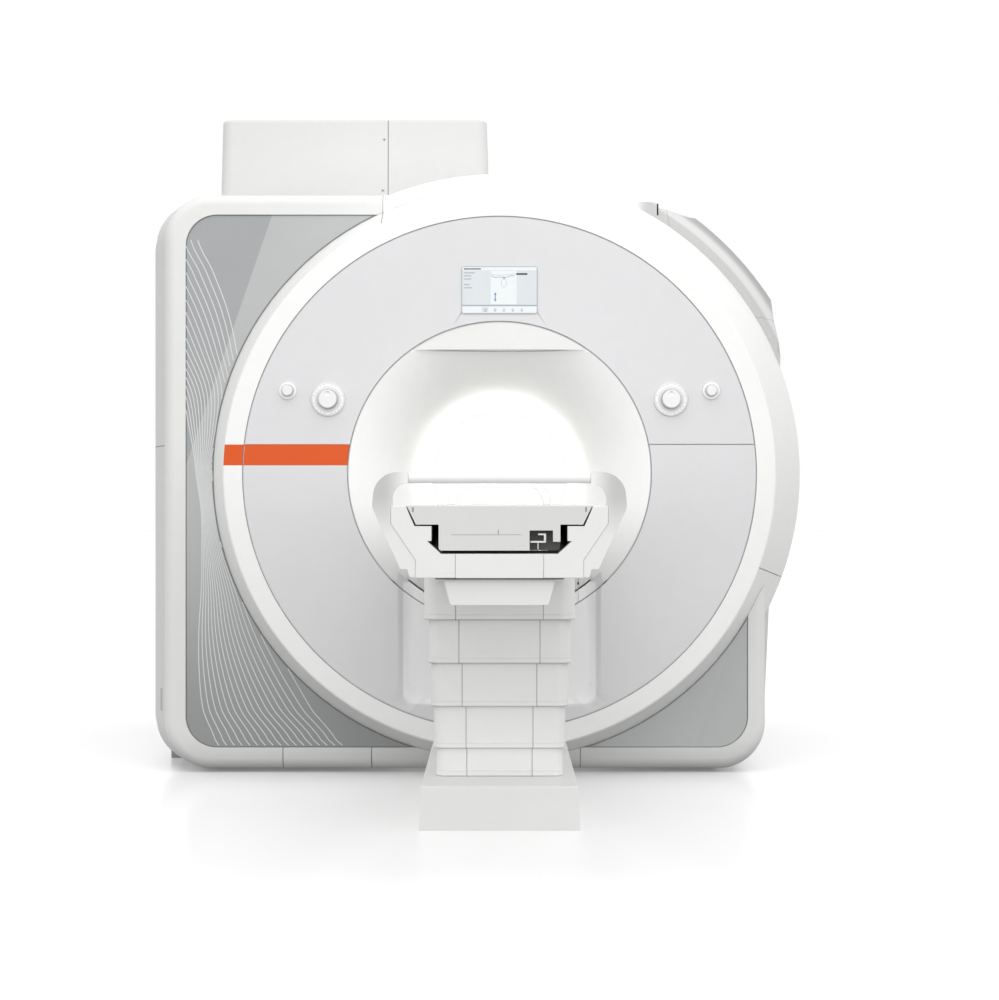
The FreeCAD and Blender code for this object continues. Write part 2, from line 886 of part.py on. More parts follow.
def cover_frame():
    """Rings behind the front covers, stand-offs to the magnet and posts inside the left side."""
    back = front_y + cover_wall
    outer_ring = tube_y(ring_radius - 15, disk_radius - 9, back, back + 12)
    inner_edge = funnel_mouth_radius - disk_gap / 2 + seam
    inner_ring = tube_y(funnel_mouth_radius + 26, inner_edge, back, back + 12)
    dish = box(
        -recess_half_width - 40, recess_half_width + 40, front_y - 1, back + 60, 0.0, axis_height - 200
    )
    vessel_front = -vessel_length / 2 - fit_gap
    outer_post = disk_radius
    inner_post = funnel_mouth_radius + 13
    pieces = [outer_ring, inner_ring.cut(dish)]
    for angle in range(15, 360, 30):
        x = outer_post * math.cos(math.radians(angle))
        z = axis_height + outer_post * math.sin(math.radians(angle))
        pieces.append(rod_y(12.0, back + 11, vessel_front, x, z))
    for angle in (0.0, 40.0, 140.0, 180.0):
        x = inner_post * math.cos(math.radians(angle))
        z = axis_height + inner_post * math.sin(math.radians(angle))
        pieces.append(rod_y(12.0, back + 11, vessel_front, x, z))
    for y in (-400.0, 600.0):
        skin = housing_left + cover_wall + fit_gap
        post = box(skin, skin + 40, y, y + 40, 250.0, 1900.0)
        arms = [box(skin + 39, -900.0, y, y + 40, z, z + 40) for z in (500.0, 1600.0)]
        vessel = rod_y(vessel_radius + fit_gap, y - 50, y + 90)
        pieces.append(fused([post] + [arm.cut(vessel) for arm in arms]))
    return fused(pieces)


def base_plinth():
    """Floor frame that the covers stand on, set back from the front."""
    y0 = front_y + plinth_setback
    y1 = housing_end_y - plinth_inset
    left = housing_left + curb_inset
    right = housing_right_low - plinth_inset
    top = rim_bottom - seam
    w = plinth_frame_width
    frame = box(left, right, y0, y1, 0.0, top).cut(box(left + w, right - w, y0 + w, y1 - w, -1, top + 1))
    curb = box(left, left + curb_size, y0, y1, 0.0, curb_size)
    return fused([frame, curb])


def bore_rails():
    """Two rails on the liner that take over the tabletop from the table."""
    rail = box(beam_inner, tabletop_under_half + 6, front_y + 20, rear_y - 20, 840.0, rail_top)
    rail = rail.common(funnel_void(fit_gap))
    return both_sides(rail)


# ---- display and controls ----
def display_block(width, height, y0, y1):
    return prism_y(
        rectangle(-width / 2, width / 2, display_z - height / 2, display_z + height / 2, 8.0), y0, y1
    )


def display_bezel():
    width = display_width - 2 * display_edge
    height = display_height - 2 * display_edge
    trim = 2 * display_body_edge + seam
    face = front_y - display_proud
    frame = display_block(display_width, display_height, face, front_y - slide_gap)
    back = front_y + display_body_depth
    body = display_block(display_width - trim, display_height - trim, front_y - 1, back)
    pocket = display_block(width, height, face - 1, front_y + display_pocket_depth)
    return fused([frame, body]).cut(pocket)


def display_screen():
    width = display_width - 2 * display_edge - seam
    height = display_height - 2 * display_edge - seam
    back = front_y + display_pocket_depth - slide_gap
    return display_block(width, height, front_y - screen_proud, back)


def bezel(x, z, radius, bore, height):
    """Raised round bezel with a bushing through the cover."""
    flange = rod_y(radius, front_y - height, front_y - slide_gap, x, z)
    flange = round_edges(flange, 3.0, lambda b: b.YMax < front_y - height + 0.1)
    bush = rod_y(bore + bush_wall, front_y - 1, front_y + bush_length, x, z)
    return fused([flange, bush]).cut(rod_y(bore, front_y - height - 1, front_y + bush_length + 1, x, z))


def control_bezels():
    pieces = []
    for side in (-1, 1):
        pieces.append(bezel(side * jog_x, jog_z, jog_bezel_radius, jog_shaft, jog_bezel_height))
        pieces.append(bezel(side * stop_x, stop_z, stop_bezel_radius, stop_stem, stop_bezel_height))
    return Part.makeCompound([piece.Solids[0] for piece in pieces])


def jog_knob(side):
    """Turning knob with a finger dimple; its shaft runs in the bezel's bushing."""
    x = side * jog_x
    face = front_y - jog_bezel_height
    front = face - jog_height
    cap = rod_y(jog_radius, front, face - slide_gap, x, jog_z)
    cap = round_edges(cap, 5.0, lambda b: b.YMax < front + 0.1)
    dimple = Part.makeSphere(12.0, V(x, front - 7, jog_z + 20))
    shaft = rod_y(jog_shaft - fit_gap, face - 1, front_y + bush_length + 5, x, jog_z)
    back = front_y + bush_length + slide_gap
    stop_ring = rod_y(jog_shaft + 5, back, front_y + bush_length + 7, x, jog_z)
    return fused([cap.cut(dimple), shaft, stop_ring])


def stop_button(side):
    """Push button with its stem in the bezel's bushing; it travels inwards."""
    x = side * stop_x
    face = front_y - stop_bezel_height - stop_travel
    front = face - stop_height
    cap = rod_y(stop_radius, front, face - slide_gap, x, stop_z)
    cap = round_edges(cap, 4.0, lambda b: b.YMax < front + 0.1)
    stem = rod_y(stop_stem - fit_gap, face - 1, front_y + bush_length + 5, x, stop_z)
    back = front_y + bush_length + slide_gap
    clip = rod_y(stop_stem + 4, back, front_y + bush_length + 5, x, stop_z)
    return fused([cap, stem, clip])


# ---- patient table: column and base ----
def mast_stage(shrink, z0, z1):
    half_x = mast_width / 2 - shrink
    half_y = mast_length / 2 - shrink
    outer = prism_z(rectangle(-half_x, half_x, mast_y - half_y, mast_y + half_y, 16.0), z0, z1)
    w = mast_wall
    inner = prism_z(
        rectangle(-half_x + w, half_x - w, mast_y - half_y + w, mast_y + half_y - w, 8.0), z0 - 1, z1 + 1
    )
    return outer.cut(inner)


def mast_heights():
    """Stage length that just fits between base plate and chassis when lowered."""
    low_top = chassis_bottom - lift_travel
    return low_top - mast_base - 2.5


def mast_outer():
    """Fixed mast stage welded to its floor plate."""
    plate = prism_z(rectangle(-210.0, 210.0, mast_y - 320.0, mast_y + 320.0, 15.0), 0.0, mast_base)
    for x in (-mast_hole_x / 2, mast_hole_x / 2):
        for y in (-mast_hole_y / 2, mast_hole_y / 2):
            plate = plate.cut(rod_z(mast_anchor_hole / 2, -1, mast_base + 1, x, mast_y + y))
    return fused([plate, mast_stage(0.0, mast_base, mast_base + mast_heights())])


def mast_middle():
    rise = lift_travel / 2
    z0 = mast_base + rise + fit_gap
    return mast_stage(mast_wall + slide_gap, z0, z0 + mast_heights())


def mast_inner():
    z0 = mast_base + lift_travel + fit_gap
    return mast_stage(2 * (mast_wall + slide_gap), z0, chassis_bottom)


def column_tube(half, step, wall, z0, z1, corner):
    y0 = column_front_y + step
    y1 = column_rear_y - step
    outer = prism_z(rectangle(-half, half, y0, y1, corner), z0, z1)
    inner = rectangle(-half + wall, half - wall, y0 + wall, y1 - wall, corner - wall)
    return outer.cut(prism_z(inner, z0 - 1, z1 + 1))


def column_cover(index):
    """One telescoping cover; each inner one carries a guide flange that runs in the next outer one."""
    half = column_halves[index]
    z0 = column_bottoms[index]
    step = column_halves[0] - half
    if index == 0:
        tube = column_tube(half, step, column_wall, z0, chassis_bottom, column_corner)
        lid = prism_z(
            rectangle(-half + 1, half - 1, column_front_y + 1, column_rear_y - 1, column_corner - 1),
            chassis_bottom - column_wall,
            chassis_bottom,
        )
        mast_y0 = mast_y - mast_length / 2
        mast = rectangle(-mast_width / 2, mast_width / 2, mast_y0, mast_y0 + mast_length)
        return fused([tube, lid.cut(prism_z(mast, 0.0, far))])
    corner = column_corner - step * 0.4
    overhang = column_halves[index - 1] - column_wall - slide_gap - half
    if index < 4:
        parked_top = chassis_bottom - lift_travel - column_parked
        height = parked_top - column_head_gap - column_stagger * index
    else:
        height = column_bottoms[3] - column_bottoms[4] + column_overlap
    top = z0 + height
    tube = column_tube(half, step, column_wall, z0, top, corner)
    thick = column_wall + overhang
    low = top - column_flange
    flange = column_tube(half + overhang, step - overhang, thick, low, top, corner + overhang)
    return fused([tube, flange])


def table_plinth():
    """Floor fairing from the column back to the gantry, open below, with an opening for the mast."""
    y1 = front_y - seam

    def block(inset, top):
        low = rectangle(-plinth_half + inset, plinth_half - inset, plinth_front_y + inset, y1 - inset)
        high = rectangle(
            -plinth_half + plinth_draft + inset,
            plinth_half - plinth_draft - inset,
            plinth_front_y + plinth_draft + inset,
            y1 - inset,
        )
        base = 0.0 if inset == 0 else -0.01
        return Part.makeLoft([outline_z(low, base), outline_z(high, top)], True, True)

    outer = block(0.0, plinth_height)
    outer = round_edges(outer, 4.0, lambda b: b.ZMin > plinth_height - 0.1)
    shell = outer.cut(block(cover_wall, plinth_height - cover_wall))
    gap = 2.0
    mast = rectangle(
        -mast_width / 2 - gap,
        mast_width / 2 + gap,
        mast_y - mast_length / 2 - gap,
        mast_y + mast_length / 2 + gap,
        16.0 + gap,
    )
    return shell.cut(prism_z(mast, plinth_height - 20, plinth_height + 5))


# ---- patient table: chassis, covers and top ----
def hexagon(inset):
    """Cross-section of the table body: upright shoulders, sloping flanks, narrow foot."""
    i = inset
    return [
        (-end_cover_half + i, tabletop_top + 1 - i),
        (-end_cover_half + i, end_cover_shoulder_z + i * 0.3),
        (-end_cover_low_half + i, end_cover_flank_z + i * 0.3),
        (-end_cover_low_half + i, chassis_bottom + i),
        (end_cover_low_half - i, chassis_bottom + i),
        (end_cover_low_half - i, end_cover_flank_z + i * 0.3),
        (end_cover_half - i, end_cover_shoulder_z + i * 0.3),
        (end_cover_half - i, tabletop_top + 1 - i),
    ]


def table_channel():
    """Stepped channel that the tabletop and its keel run through."""
    half = [
        (tabletop_half_width + channel_gap, tabletop_top + 2),
        (tabletop_under_half + channel_gap, tabletop_under - channel_gap),
        (keel_half_width + 18.6, tabletop_under - channel_gap),
        (keel_half_width + 18.6, 898.0),
        (keel_half_width + 30, 898.0),
        (keel_half_width - 6, keel_bottom - centre_top_gap),
    ]
    points = half + [(-x, z) for x, z in reversed(half)]
    return sharp(points)


def end_cover():
    """Moulded cap over the foot end of the table, with a pocket for the centre cover."""
    back = table_end_y + end_cover_depth
    cap = prism_y(sharp(hexagon(0.0)), table_end_y, back)
    cap = round_edges(cap, 3.0, lambda b: b.YMax < table_end_y + 0.1)
    cap = cap.cut(prism_y(table_channel(), table_end_y - 1, back + 1))
    half = centre_half + seam
    pocket_back = table_end_y + centre_thickness
    pocket = box(-half, half, table_end_y - 1, pocket_back, chassis_bottom - 1, keel_bottom)
    return cap.cut(pocket)


def end_centre_cover():
    back = table_end_y + centre_thickness - slide_gap
    top = keel_bottom - centre_top_gap
    plate = box(-centre_half, centre_half, table_end_y, back, chassis_bottom, top)
    return round_edges(plate, 1.5, lambda b: b.YMax < table_end_y + 0.1)


def table_chassis():
    """Welded U-beam: bottom plate and two side beams whose tops are the slide rails."""
    y0 = table_end_y + end_cover_depth + seam
    y1 = chassis_rear_y - 10
    half = end_cover_low_half - cover_wall
    plate = box(-half, half, y0, y1, chassis_bottom, chassis_bottom + chassis_plate)
    beam = box(beam_inner, beam_inner + beam_width, y0, y1, chassis_bottom + chassis_plate - 1, rail_top)
    return fused([plate, beam, mirrored(beam)])


def table_side_covers():
    """Side covers along the table, one each side, with a top flange beside the tabletop."""
    y0 = table_end_y + end_cover_depth + seam
    y1 = chassis_rear_y
    wall = cover_wall - seam
    shell = prism_y(sharp(hexagon(0.0)), y0, y1).cut(prism_y(sharp(hexagon(wall)), y0 - 1, y1 + 1))
    low_half = end_cover_low_half - wall
    floor_cut = box(-low_half, low_half, y0 - 2, y1 + 2, 0.0, chassis_bottom + wall + 1)
    top_half = tabletop_half_width + channel_gap
    top_cut = box(-top_half, top_half, y0 - 1, y1 + 1, 900.0, far)
    return shell.cut(floor_cut).cut(top_cut)


def under_pan():
    """Pan under the foot end of the table, ahead of the column."""
    y0 = table_end_y + 25
    y1 = column_front_y - 9
    top = chassis_bottom - seam
    high = pan_top_half
    low = pan_low_half
    outline = [(-high, top), (-low, pan_bottom), (low, pan_bottom), (high, top)]
    pan = prism_y(sharp(outline), y0, y1)
    pan = round_edges(pan, 6.0, lambda b: b.ZMax < pan_bottom + 0.1 and b.YLength > 100)
    high = pan_top_half - cover_wall
    low = pan_low_half - cover_wall + 1
    floor_z = pan_bottom + cover_wall
    inner = [(-high, top + 1), (-low, floor_z), (low, floor_z), (high, top + 1)]
    return pan.cut(prism_y(sharp(inner), y0 + cover_wall, y1 - cover_wall))


def handle_bar():
    """Straight grip tube across the foot end."""
    half = handle_seam_x - seam / 2
    y = table_end_y + handle_tube / 2 + handle_setback
    return Part.makeCylinder(handle_tube / 2, 2 * half, V(-half, y, handle_z), V(1, 0, 0))


def handle_arms():
    """Curved arms from the grip down the flanks of the end cover; one each side."""
    y0 = table_end_y + handle_setback
    y1 = y0 + handle_tube
    top = handle_z + handle_tube / 2
    low = handle_z - handle_tube / 2
    reach = handle_reach
    outline = [
        (handle_seam_x + seam / 2, top, 0.0),
        (reach - 6, top, 62.0),
        (reach + 2, tabletop_top - 2, 40.0),
        (254.0, arm_low_z, 3.0),
        (236.0, arm_low_z, 3.0),
        (231.0, chassis_bottom + 3, 3.0),
        (end_cover_low_half + slide_gap, chassis_bottom + 3, 0.0),
        (end_cover_low_half + slide_gap, end_cover_flank_z, 0.0),
        (end_cover_half + slide_gap, end_cover_shoulder_z, 0.0),
        (end_cover_half + slide_gap, tabletop_top + 1, 0.0),
        (reach - arm_width, tabletop_top + 1 + slide_gap, 0.0),
        (reach - arm_width + 1, low, 38.0),
        (handle_seam_x + seam / 2, low, 0.0),
    ]
    arm = prism_y(outline, y0, y1)
    return both_sides(arm)


def tabletop():
    """Carbon tabletop with a hollow keel; its foot end is flush with the end cover."""
    y0 = table_end_y
    y1 = y0 + tabletop_length
    top = [
        (-tabletop_half_width, tabletop_top),
        (-tabletop_under_half, tabletop_under),
        (tabletop_under_half, tabletop_under),
        (tabletop_half_width, tabletop_top),
    ]
    board = prism_y(sharp(top), y0, y1)
    keel_outline = [
        (-keel_half_width, tabletop_under + 5, 0.0),
        (-keel_half_width, keel_bottom, 7.0),
        (keel_half_width, keel_bottom, 7.0),
        (keel_half_width, tabletop_under + 5, 0.0),
    ]
    keel = prism_y(keel_outline, y0, y1)
    wall = keel_wall
    half = keel_half_width - wall
    hollow = box(-half, half, y0 + keel_end_block, y1 - 12, keel_bottom + wall, tabletop_under)
    whole = fused([board, keel]).cut(hollow)
    dock_back = y0 + dock_depth
    dock = box(dock_left, dock_right, y0 - 1, dock_back, keel_bottom - 1, dock_top)
    side = box(dock_right - 1, keel_half_width + 1, y0 - 1, dock_back, keel_bottom - 1, dock_side_top)
    return whole.cut(dock.fuse(side))


def head_arch():
    """Light bow over the head end of the tabletop."""
    y1 = table_end_y + tabletop_length - 12
    base = tabletop_top + fit_gap
    y0 = y1 - arch_depth

    def bow(foot, crown, low, high, radius):
        return [(-foot, low, 0.0), (foot, low, 0.0), (crown, high, radius), (-crown, high, radius)]

    outer = bow(183.0, 178.0, base, arch_top, 66.0)
    inner = bow(156.0, 152.0, base - 1, arch_top - 10.0, 56.0)
    return prism_y(outer, y0, y1).cut(prism_y(inner, y0 - 1, y1 + 1))


def tabletop_drive():
    """Sealed motor and gear unit on the chassis plate, under the keel."""
    z0 = chassis_bottom + 10
    y = column_front_y - 400
    body = box(-70.0, 70.0, y, y + 180, z0, z0 + 48)
    motor = rod_y(22.0, y + 180, y + 300, 0.0, z0 + 24)
    foot = box(-22.0, 22.0, y + 180, y + 290, z0, z0 + 24)
    return fused([body, motor, foot])


def main():
    os.makedirs("parts", exist_ok=True)
    save("front_ring", front_ring())
    save("flare_upper", flare_upper())
    save("flare_lower", flare_lower())
    save("front_cover_upper", front_cover_upper())
    save("front_cover_lower", front_cover_lower())
    save("front_funnel", front_funnel())
    save("bore_liner", bore_liner())
    save("rear_funnel", rear_funnel())
    save("rear_cover", rear_cover())
    save("panel_left", panel(True))
    save("panel_right", panel(False))
    save_housing()
    left, right = turret_covers()
    save("turret_cover_left", left)
    save("turret_cover_right", right)
    save("base_plinth", base_plinth())
    save("display_bezel", display_bezel())
    save("display_screen", display_screen())
    save("control_bezels", control_bezels())
    for side, word in ((-1, "left"), (1, "right")):
        save("jog_knob_" + word, jog_knob(side))
        save("stop_button_" + word, stop_button(side))
    save("vacuum_vessel", vacuum_vessel())
    save("thermal_shield", thermal_shield())
    save("helium_vessel", helium_vessel())
    save("magnet_coils", magnet_coils())
    save("suspension_rods", suspension_rods())
    save("gradient_coil", gradient_coil())
    save("rf_body_coil", rf_body_coil())
    save("magnet_feet", magnet_feet())
    save("cold_head", cold_head())
    save("quench_pipe", quench_pipe())
    save("cover_frame", cover_frame())
    save("bore_rails", bore_rails())
    save("table_plinth", table_plinth())
    save("mast_outer", mast_outer())
    save("mast_middle", mast_middle())
    save("mast_inner", mast_inner())
    for index in range(5):
        save("column_cover_" + str(index + 1), column_cover(index))
    save("table_chassis", table_chassis())
    save("table_side_covers", table_side_covers())
    save("end_cover", end_cover())
    save("end_centre_cover", end_centre_cover())
    save("under_pan", under_pan())
    save("handle_bar", handle_bar())
    save("handle_arms", handle_arms())
    save("tabletop_drive", tabletop_drive())
    save("tabletop", tabletop())
    save("head_arch", head_arch())


main()
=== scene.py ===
import math

import bmesh
import bpy
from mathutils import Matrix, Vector

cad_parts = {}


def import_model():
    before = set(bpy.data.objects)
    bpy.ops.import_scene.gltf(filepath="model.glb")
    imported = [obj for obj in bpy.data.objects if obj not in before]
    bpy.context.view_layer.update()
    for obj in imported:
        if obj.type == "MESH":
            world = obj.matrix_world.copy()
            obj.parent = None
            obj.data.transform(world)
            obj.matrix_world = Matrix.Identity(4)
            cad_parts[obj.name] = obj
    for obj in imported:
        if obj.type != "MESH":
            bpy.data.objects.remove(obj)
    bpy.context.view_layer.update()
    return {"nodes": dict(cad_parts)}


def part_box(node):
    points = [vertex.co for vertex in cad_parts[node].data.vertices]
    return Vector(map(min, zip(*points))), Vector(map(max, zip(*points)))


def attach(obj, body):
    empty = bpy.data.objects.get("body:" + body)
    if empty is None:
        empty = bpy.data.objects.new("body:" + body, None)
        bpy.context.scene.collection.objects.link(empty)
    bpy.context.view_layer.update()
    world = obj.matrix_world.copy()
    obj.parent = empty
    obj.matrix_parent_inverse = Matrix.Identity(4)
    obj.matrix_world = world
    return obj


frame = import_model()

# All lengths are in metres, in the frame of the CAD part: +Y runs into the bore, +Z is up.

# ---- round front: all its pieces share the bore's axis ----
AXIS_Z = 1.100
FRONT_Y = -1.065
MOUTH_R = 0.549
DISK_R = 0.929
RING_R = 1.000
GAP_HALF = 0.0020
SPLIT_Z = 1.204
VISOR_Z = 1.546
STRIPE_LOW = 1.1285
STRIPE_HIGH = 1.2034
DISH_HALF_X = 0.344
DISH_LOW = 0.269
DISH_HIGH = 0.70
KNOB_PLACE = (0.620, 1.367)
BUTTON_PLACE = (0.766, 1.398)
KNOB_R = 0.0335
BUTTON_R = 0.0186

# ---- housing ----
FLARE_BACK_Y = -0.7142
FLARE_JOINT_TURN = math.radians(20)
FAIRING_FADE = (0.50, 0.56)
REAR_Y = 1.065
LOUVRE_STEP = 0.012
LOUVRE_MIDDLE_X = -0.13
LOUVRE_REACH = (0.55, 0.85)
LOUVRE_HEIGHTS = (0.240, 0.432)
FASTENER_R = 0.008
REAR_FASTENERS = tuple(
    (x, z)
    for x in (-1.10, -0.60, 0.60, 0.84)
    for z in (0.15, 1.00, 1.85)
    if (x, z) != (-1.10, 1.85)
)
TOP_SEAM_X = -0.428
TURRET_SEAM_X = -0.443
RIM_SEAMS = (-0.796, -0.470, 0.297)
SEAM_HALF = 0.0014
PANEL_MIDDLE = (-0.120, 1.0725)
PANEL_HALF = (1.034, 0.9795)
PANEL_CORNER = 0.115
PANEL_EDGE_R = 1.053

# ---- table ----
TABLE_Y = -3.395
COLUMN_Y = -2.151
COLUMN_SEAMS = (0.137, 0.127, 0.117, 0.105, 0.1025)
DOCK_X0 = 0.077
DOCK_X1 = 0.1565

# ---- rounding of edges, as the bevel's width ----
EDGE = 0.0012
FINE_EDGE = 0.0008
SMALL_EDGE = 0.0006
ARCH_EDGE = 0.001
ARM_EDGE = 0.0065
NO_EDGE = 0.0

# ---- photographer's place ----
CAMERA_PLACE = (0.0, -9.043, 1.003)
CAMERA_LENS = 79.4
SENSOR = 36.0


# ---------------------------------------------------------------- shader building
class Shade:
    """One node material; its methods add a node and give back the socket to use next."""

    def __init__(self, name, colour, roughness, **inputs):
        """inputs are other sockets of the shader, such as coat_weight."""
        self.material = bpy.data.materials.new(name)
        self.material.use_nodes = True
        self.tree = self.material.node_tree
        self.shader = self.tree.nodes["Principled BSDF"]
        self.place = self.node("ShaderNodeTexCoord").outputs["Object"]
        parts = self.node("ShaderNodeSeparateXYZ", {0: self.place})
        self.x, self.y, self.z = parts.outputs
        self.colour = tuple(colour) + (1.0,)
        self.roughness = roughness
        self.height = None
        for key, value in inputs.items():
            socket = key.replace("_", " ").title().replace("Ior", "IOR")
            self.shader.inputs[socket].default_value = value

    def node(self, kind, wires=None, **settings):
        made = self.tree.nodes.new(kind)
        for key, value in settings.items():
            setattr(made, key, value)
        for key, value in (wires or {}).items():
            self.plug(made.inputs[key], value)
        return made

    def plug(self, socket, value):
        if isinstance(value, bpy.types.NodeSocket):
            self.tree.links.new(value, socket)
        else:
            socket.default_value = value

    def math(self, operation, a, b=0.0):
        return self.node("ShaderNodeMath", {0: a, 1: b}, operation=operation).outputs[0]

    def ramp(self, value, low, high, start=0.0, end=1.0):
        """A smooth step from start to end while value goes from low to high."""
        made = self.node("ShaderNodeMapRange", interpolation_type="SMOOTHSTEP")
        self.plug(made.inputs["Value"], value)
        limits = (("From Min", low), ("From Max", high), ("To Min", start), ("To Max", end))
        for key, number in limits:
            made.inputs[key].default_value = number
        return made.outputs["Result"]

    def band(self, value, centre, half, soft=0.0006):
        """1 within half of centre, 0 away from it."""
        away = self.math("ABSOLUTE", self.math("SUBTRACT", value, centre))
        return self.ramp(away, half, half + soft, 1.0, 0.0)

    def span(self, value, low, high, soft=0.0006):
        """1 from low to high, 0 beyond them."""
        return self.band(value, (low + high) / 2, (high - low) / 2, soft)

    def both(self, *masks):
        """Where all the masks are."""
        result = masks[0]
        for mask in masks[1:]:
            result = self.math("MULTIPLY", result, mask)
        return result

    def either(self, *masks):
        """Where any of the masks is."""
        result = masks[0]
        for mask in masks[1:]:
            result = self.math("MAXIMUM", result, mask)
        return result

    def radius(self, x=0.0, z=AXIS_Z):
        """Distance from a line along Y; without arguments, from the bore's axis."""
        return self.distance(self.math("SUBTRACT", self.x, x), self.math("SUBTRACT", self.z, z))

    def distance(self, a, b):
        squares = self.math("ADD", self.math("MULTIPLY", a, a), self.math("MULTIPLY", b, b))
        return self.math("SQRT", squares)

    def noise(self, scale, detail=2.0, stretch=(1, 1, 1)):
        mapped = self.node("ShaderNodeMapping", {"Vector": self.place, "Scale": stretch})
        wires = {"Vector": mapped.outputs[0], "Scale": scale, "Detail": detail}
        return self.node("ShaderNodeTexNoise", wires).outputs["Fac"]

    def blend(self, mask, colour):
        """Lays a colour over the present one where mask is 1."""
        made = self.node("ShaderNodeMix", data_type="RGBA")
        self.plug(made.inputs[0], mask)
        self.plug(made.inputs[6], self.colour)
        self.plug(made.inputs[7], colour + (1.0,))
        self.colour = made.outputs[2]

    def shade(self, mask, strength):
        """Darkens the present colour by strength where mask is 1."""
        factor = self.math("SUBTRACT", 1.0, self.math("MULTIPLY", mask, strength))
        made = self.node("ShaderNodeMix", data_type="RGBA", blend_type="MULTIPLY")
        made.inputs[0].default_value = 1.0
        self.plug(made.inputs[6], self.colour)
        self.plug(made.inputs[7], factor)
        self.colour = made.outputs[2]

    def vary(self, scale, amount):
        """Uneven tone of a moulded or painted surface."""
        self.shade(self.ramp(self.noise(scale, 4.0), 0.35, 0.7), amount)

    def worn(self, scale, amount):
        """Uneven gloss from handling and cleaning."""
        smear = self.noise(scale, 5.0)
        self.roughness = self.math("ADD", self.roughness, self.math("MULTIPLY", smear, amount))

    def raise_by(self, value, depth):
        """Adds relief: value 1 stands depth above value 0."""
        level = self.math("MULTIPLY", value, depth)
        self.height = level if self.height is None else self.math("ADD", self.height, level)

    def seam(self, mask, strength):
        """A joint line between two mouldings."""
        self.shade(mask, strength)
        self.raise_by(mask, -0.001)

    def grain(self, scale=700.0, depth=0.00002):
        """Fine moulded texture."""
        self.raise_by(self.noise(scale, 2.0), depth)

    def done(self):
        """Wires colour, gloss and relief to the shader and gives the material."""
        self.plug(self.shader.inputs["Base Color"], self.colour)
        self.plug(self.shader.inputs["Roughness"], self.roughness)
        if self.height is not None:
            wires = {"Height": self.height, "Distance": 1.0, "Strength": 1.0}
            bump = self.node("ShaderNodeBump", wires)
            self.tree.links.new(bump.outputs[0], self.shader.inputs["Normal"])
        return self.material


# ---------------------------------------------------------------- materials
WHITE = (0.84, 0.84, 0.83)
DISK = (0.66, 0.66, 0.67)
ORANGE = (0.66, 0.080, 0.001)

# How much darker a joint and the dark gaps of the front are than the surface beside them.
JOINT_TONE = 0.5
GAP_TONE = 0.65


def satin(name, colour, roughness=0.42):
    """Painted or moulded plastic: slight tone, smears and orange peel."""
    made = Shade(name, colour, roughness)
    made.vary(2.2, 0.02)
    made.vary(23.0, 0.012)
    made.worn(6.0, 0.08)
    made.grain()
    made.raise_by(made.noise(90.0, 1.0), 0.00003)
    return made


def stripe_mask(made):
    """The orange band on the left, from the mouth moulding out to the ring's ridge."""
    return made.both(
        made.span(made.z, STRIPE_LOW, STRIPE_HIGH),
        made.ramp(made.x, -0.3, -0.31),
        made.span(made.radius(), MOUTH_R, RING_R - 0.0005),
        made.ramp(made.y, FRONT_Y + 0.004, FRONT_Y + 0.003),
    )


def fairing_grey_and_painted_light(made, where):
    """Grey of the hollow corner at the upper right, with a painted highlight band in its middle
    and painted shade at its outer edge.
    """
    corner = made.both(where, made.ramp(made.y, -0.40, -0.45))
    made.blend(corner, (0.50, 0.50, 0.495))
    radius = made.radius()
    # Painted highlight: a light band across the middle of the corner.
    made.blend(made.both(corner, made.band(radius, 1.200, 0.010, 0.02)), (0.66, 0.66, 0.655))
    # Painted shade: the corner's outer edge is darker.
    made.blend(made.both(corner, made.ramp(radius, 1.222, 1.240)), (0.38, 0.38, 0.38))


def cover_white():
    """Top cover, carrying the corner's grey with its painted highlight and painted shade at the
    upper right.
    """
    made = satin("cover_white", WHITE)
    fairing_grey_and_painted_light(made, made.ramp(made.x, *FAIRING_FADE))
    return made.done()


def flare_white():
    """Flared edge: the joint at its top left and the slanting one low on its right."""
    made = satin("flare_white", WHITE)
    upper = made.both(made.band(made.x, TOP_SEAM_X, SEAM_HALF), made.ramp(made.z, 1.9, 1.95))
    made.seam(upper, JOINT_TONE)
    across = made.math(
        "ADD",
        made.math("MULTIPLY", made.x, math.sin(FLARE_JOINT_TURN)),
        made.math(
            "MULTIPLY", made.math("SUBTRACT", made.z, AXIS_Z), math.cos(FLARE_JOINT_TURN)
        ),
    )
    right = made.both(made.band(across, 0.0, SEAM_HALF), made.ramp(made.x, 0.8, 0.85))
    made.seam(right, JOINT_TONE)
    return made.done()


def rim_white():
    """Rim round the decor panels: upright joints, and less light towards the floor."""
    made = satin("rim_white", (0.71, 0.71, 0.70))
    low = made.ramp(made.z, 0.2, 0.16)
    lines = [made.both(made.band(made.x, x, SEAM_HALF), low) for x in RIM_SEAMS]
    top = made.band(made.x, TOP_SEAM_X, SEAM_HALF)
    lines.append(made.both(top, made.ramp(made.z, 1.95, 2.0)))
    made.seam(made.either(*lines), JOINT_TONE)
    made.shade(made.ramp(made.z, 0.16, 0.0), 0.27)
    return made.done()


def fairing_white():
    """Fairing of the corner at the upper right, with its painted highlight and painted shade.
    """
    made = satin("fairing_white", (0.62, 0.62, 0.615), 0.5)
    fairing_grey_and_painted_light(made, made.ramp(made.x, *FAIRING_FADE))
    return made.done()


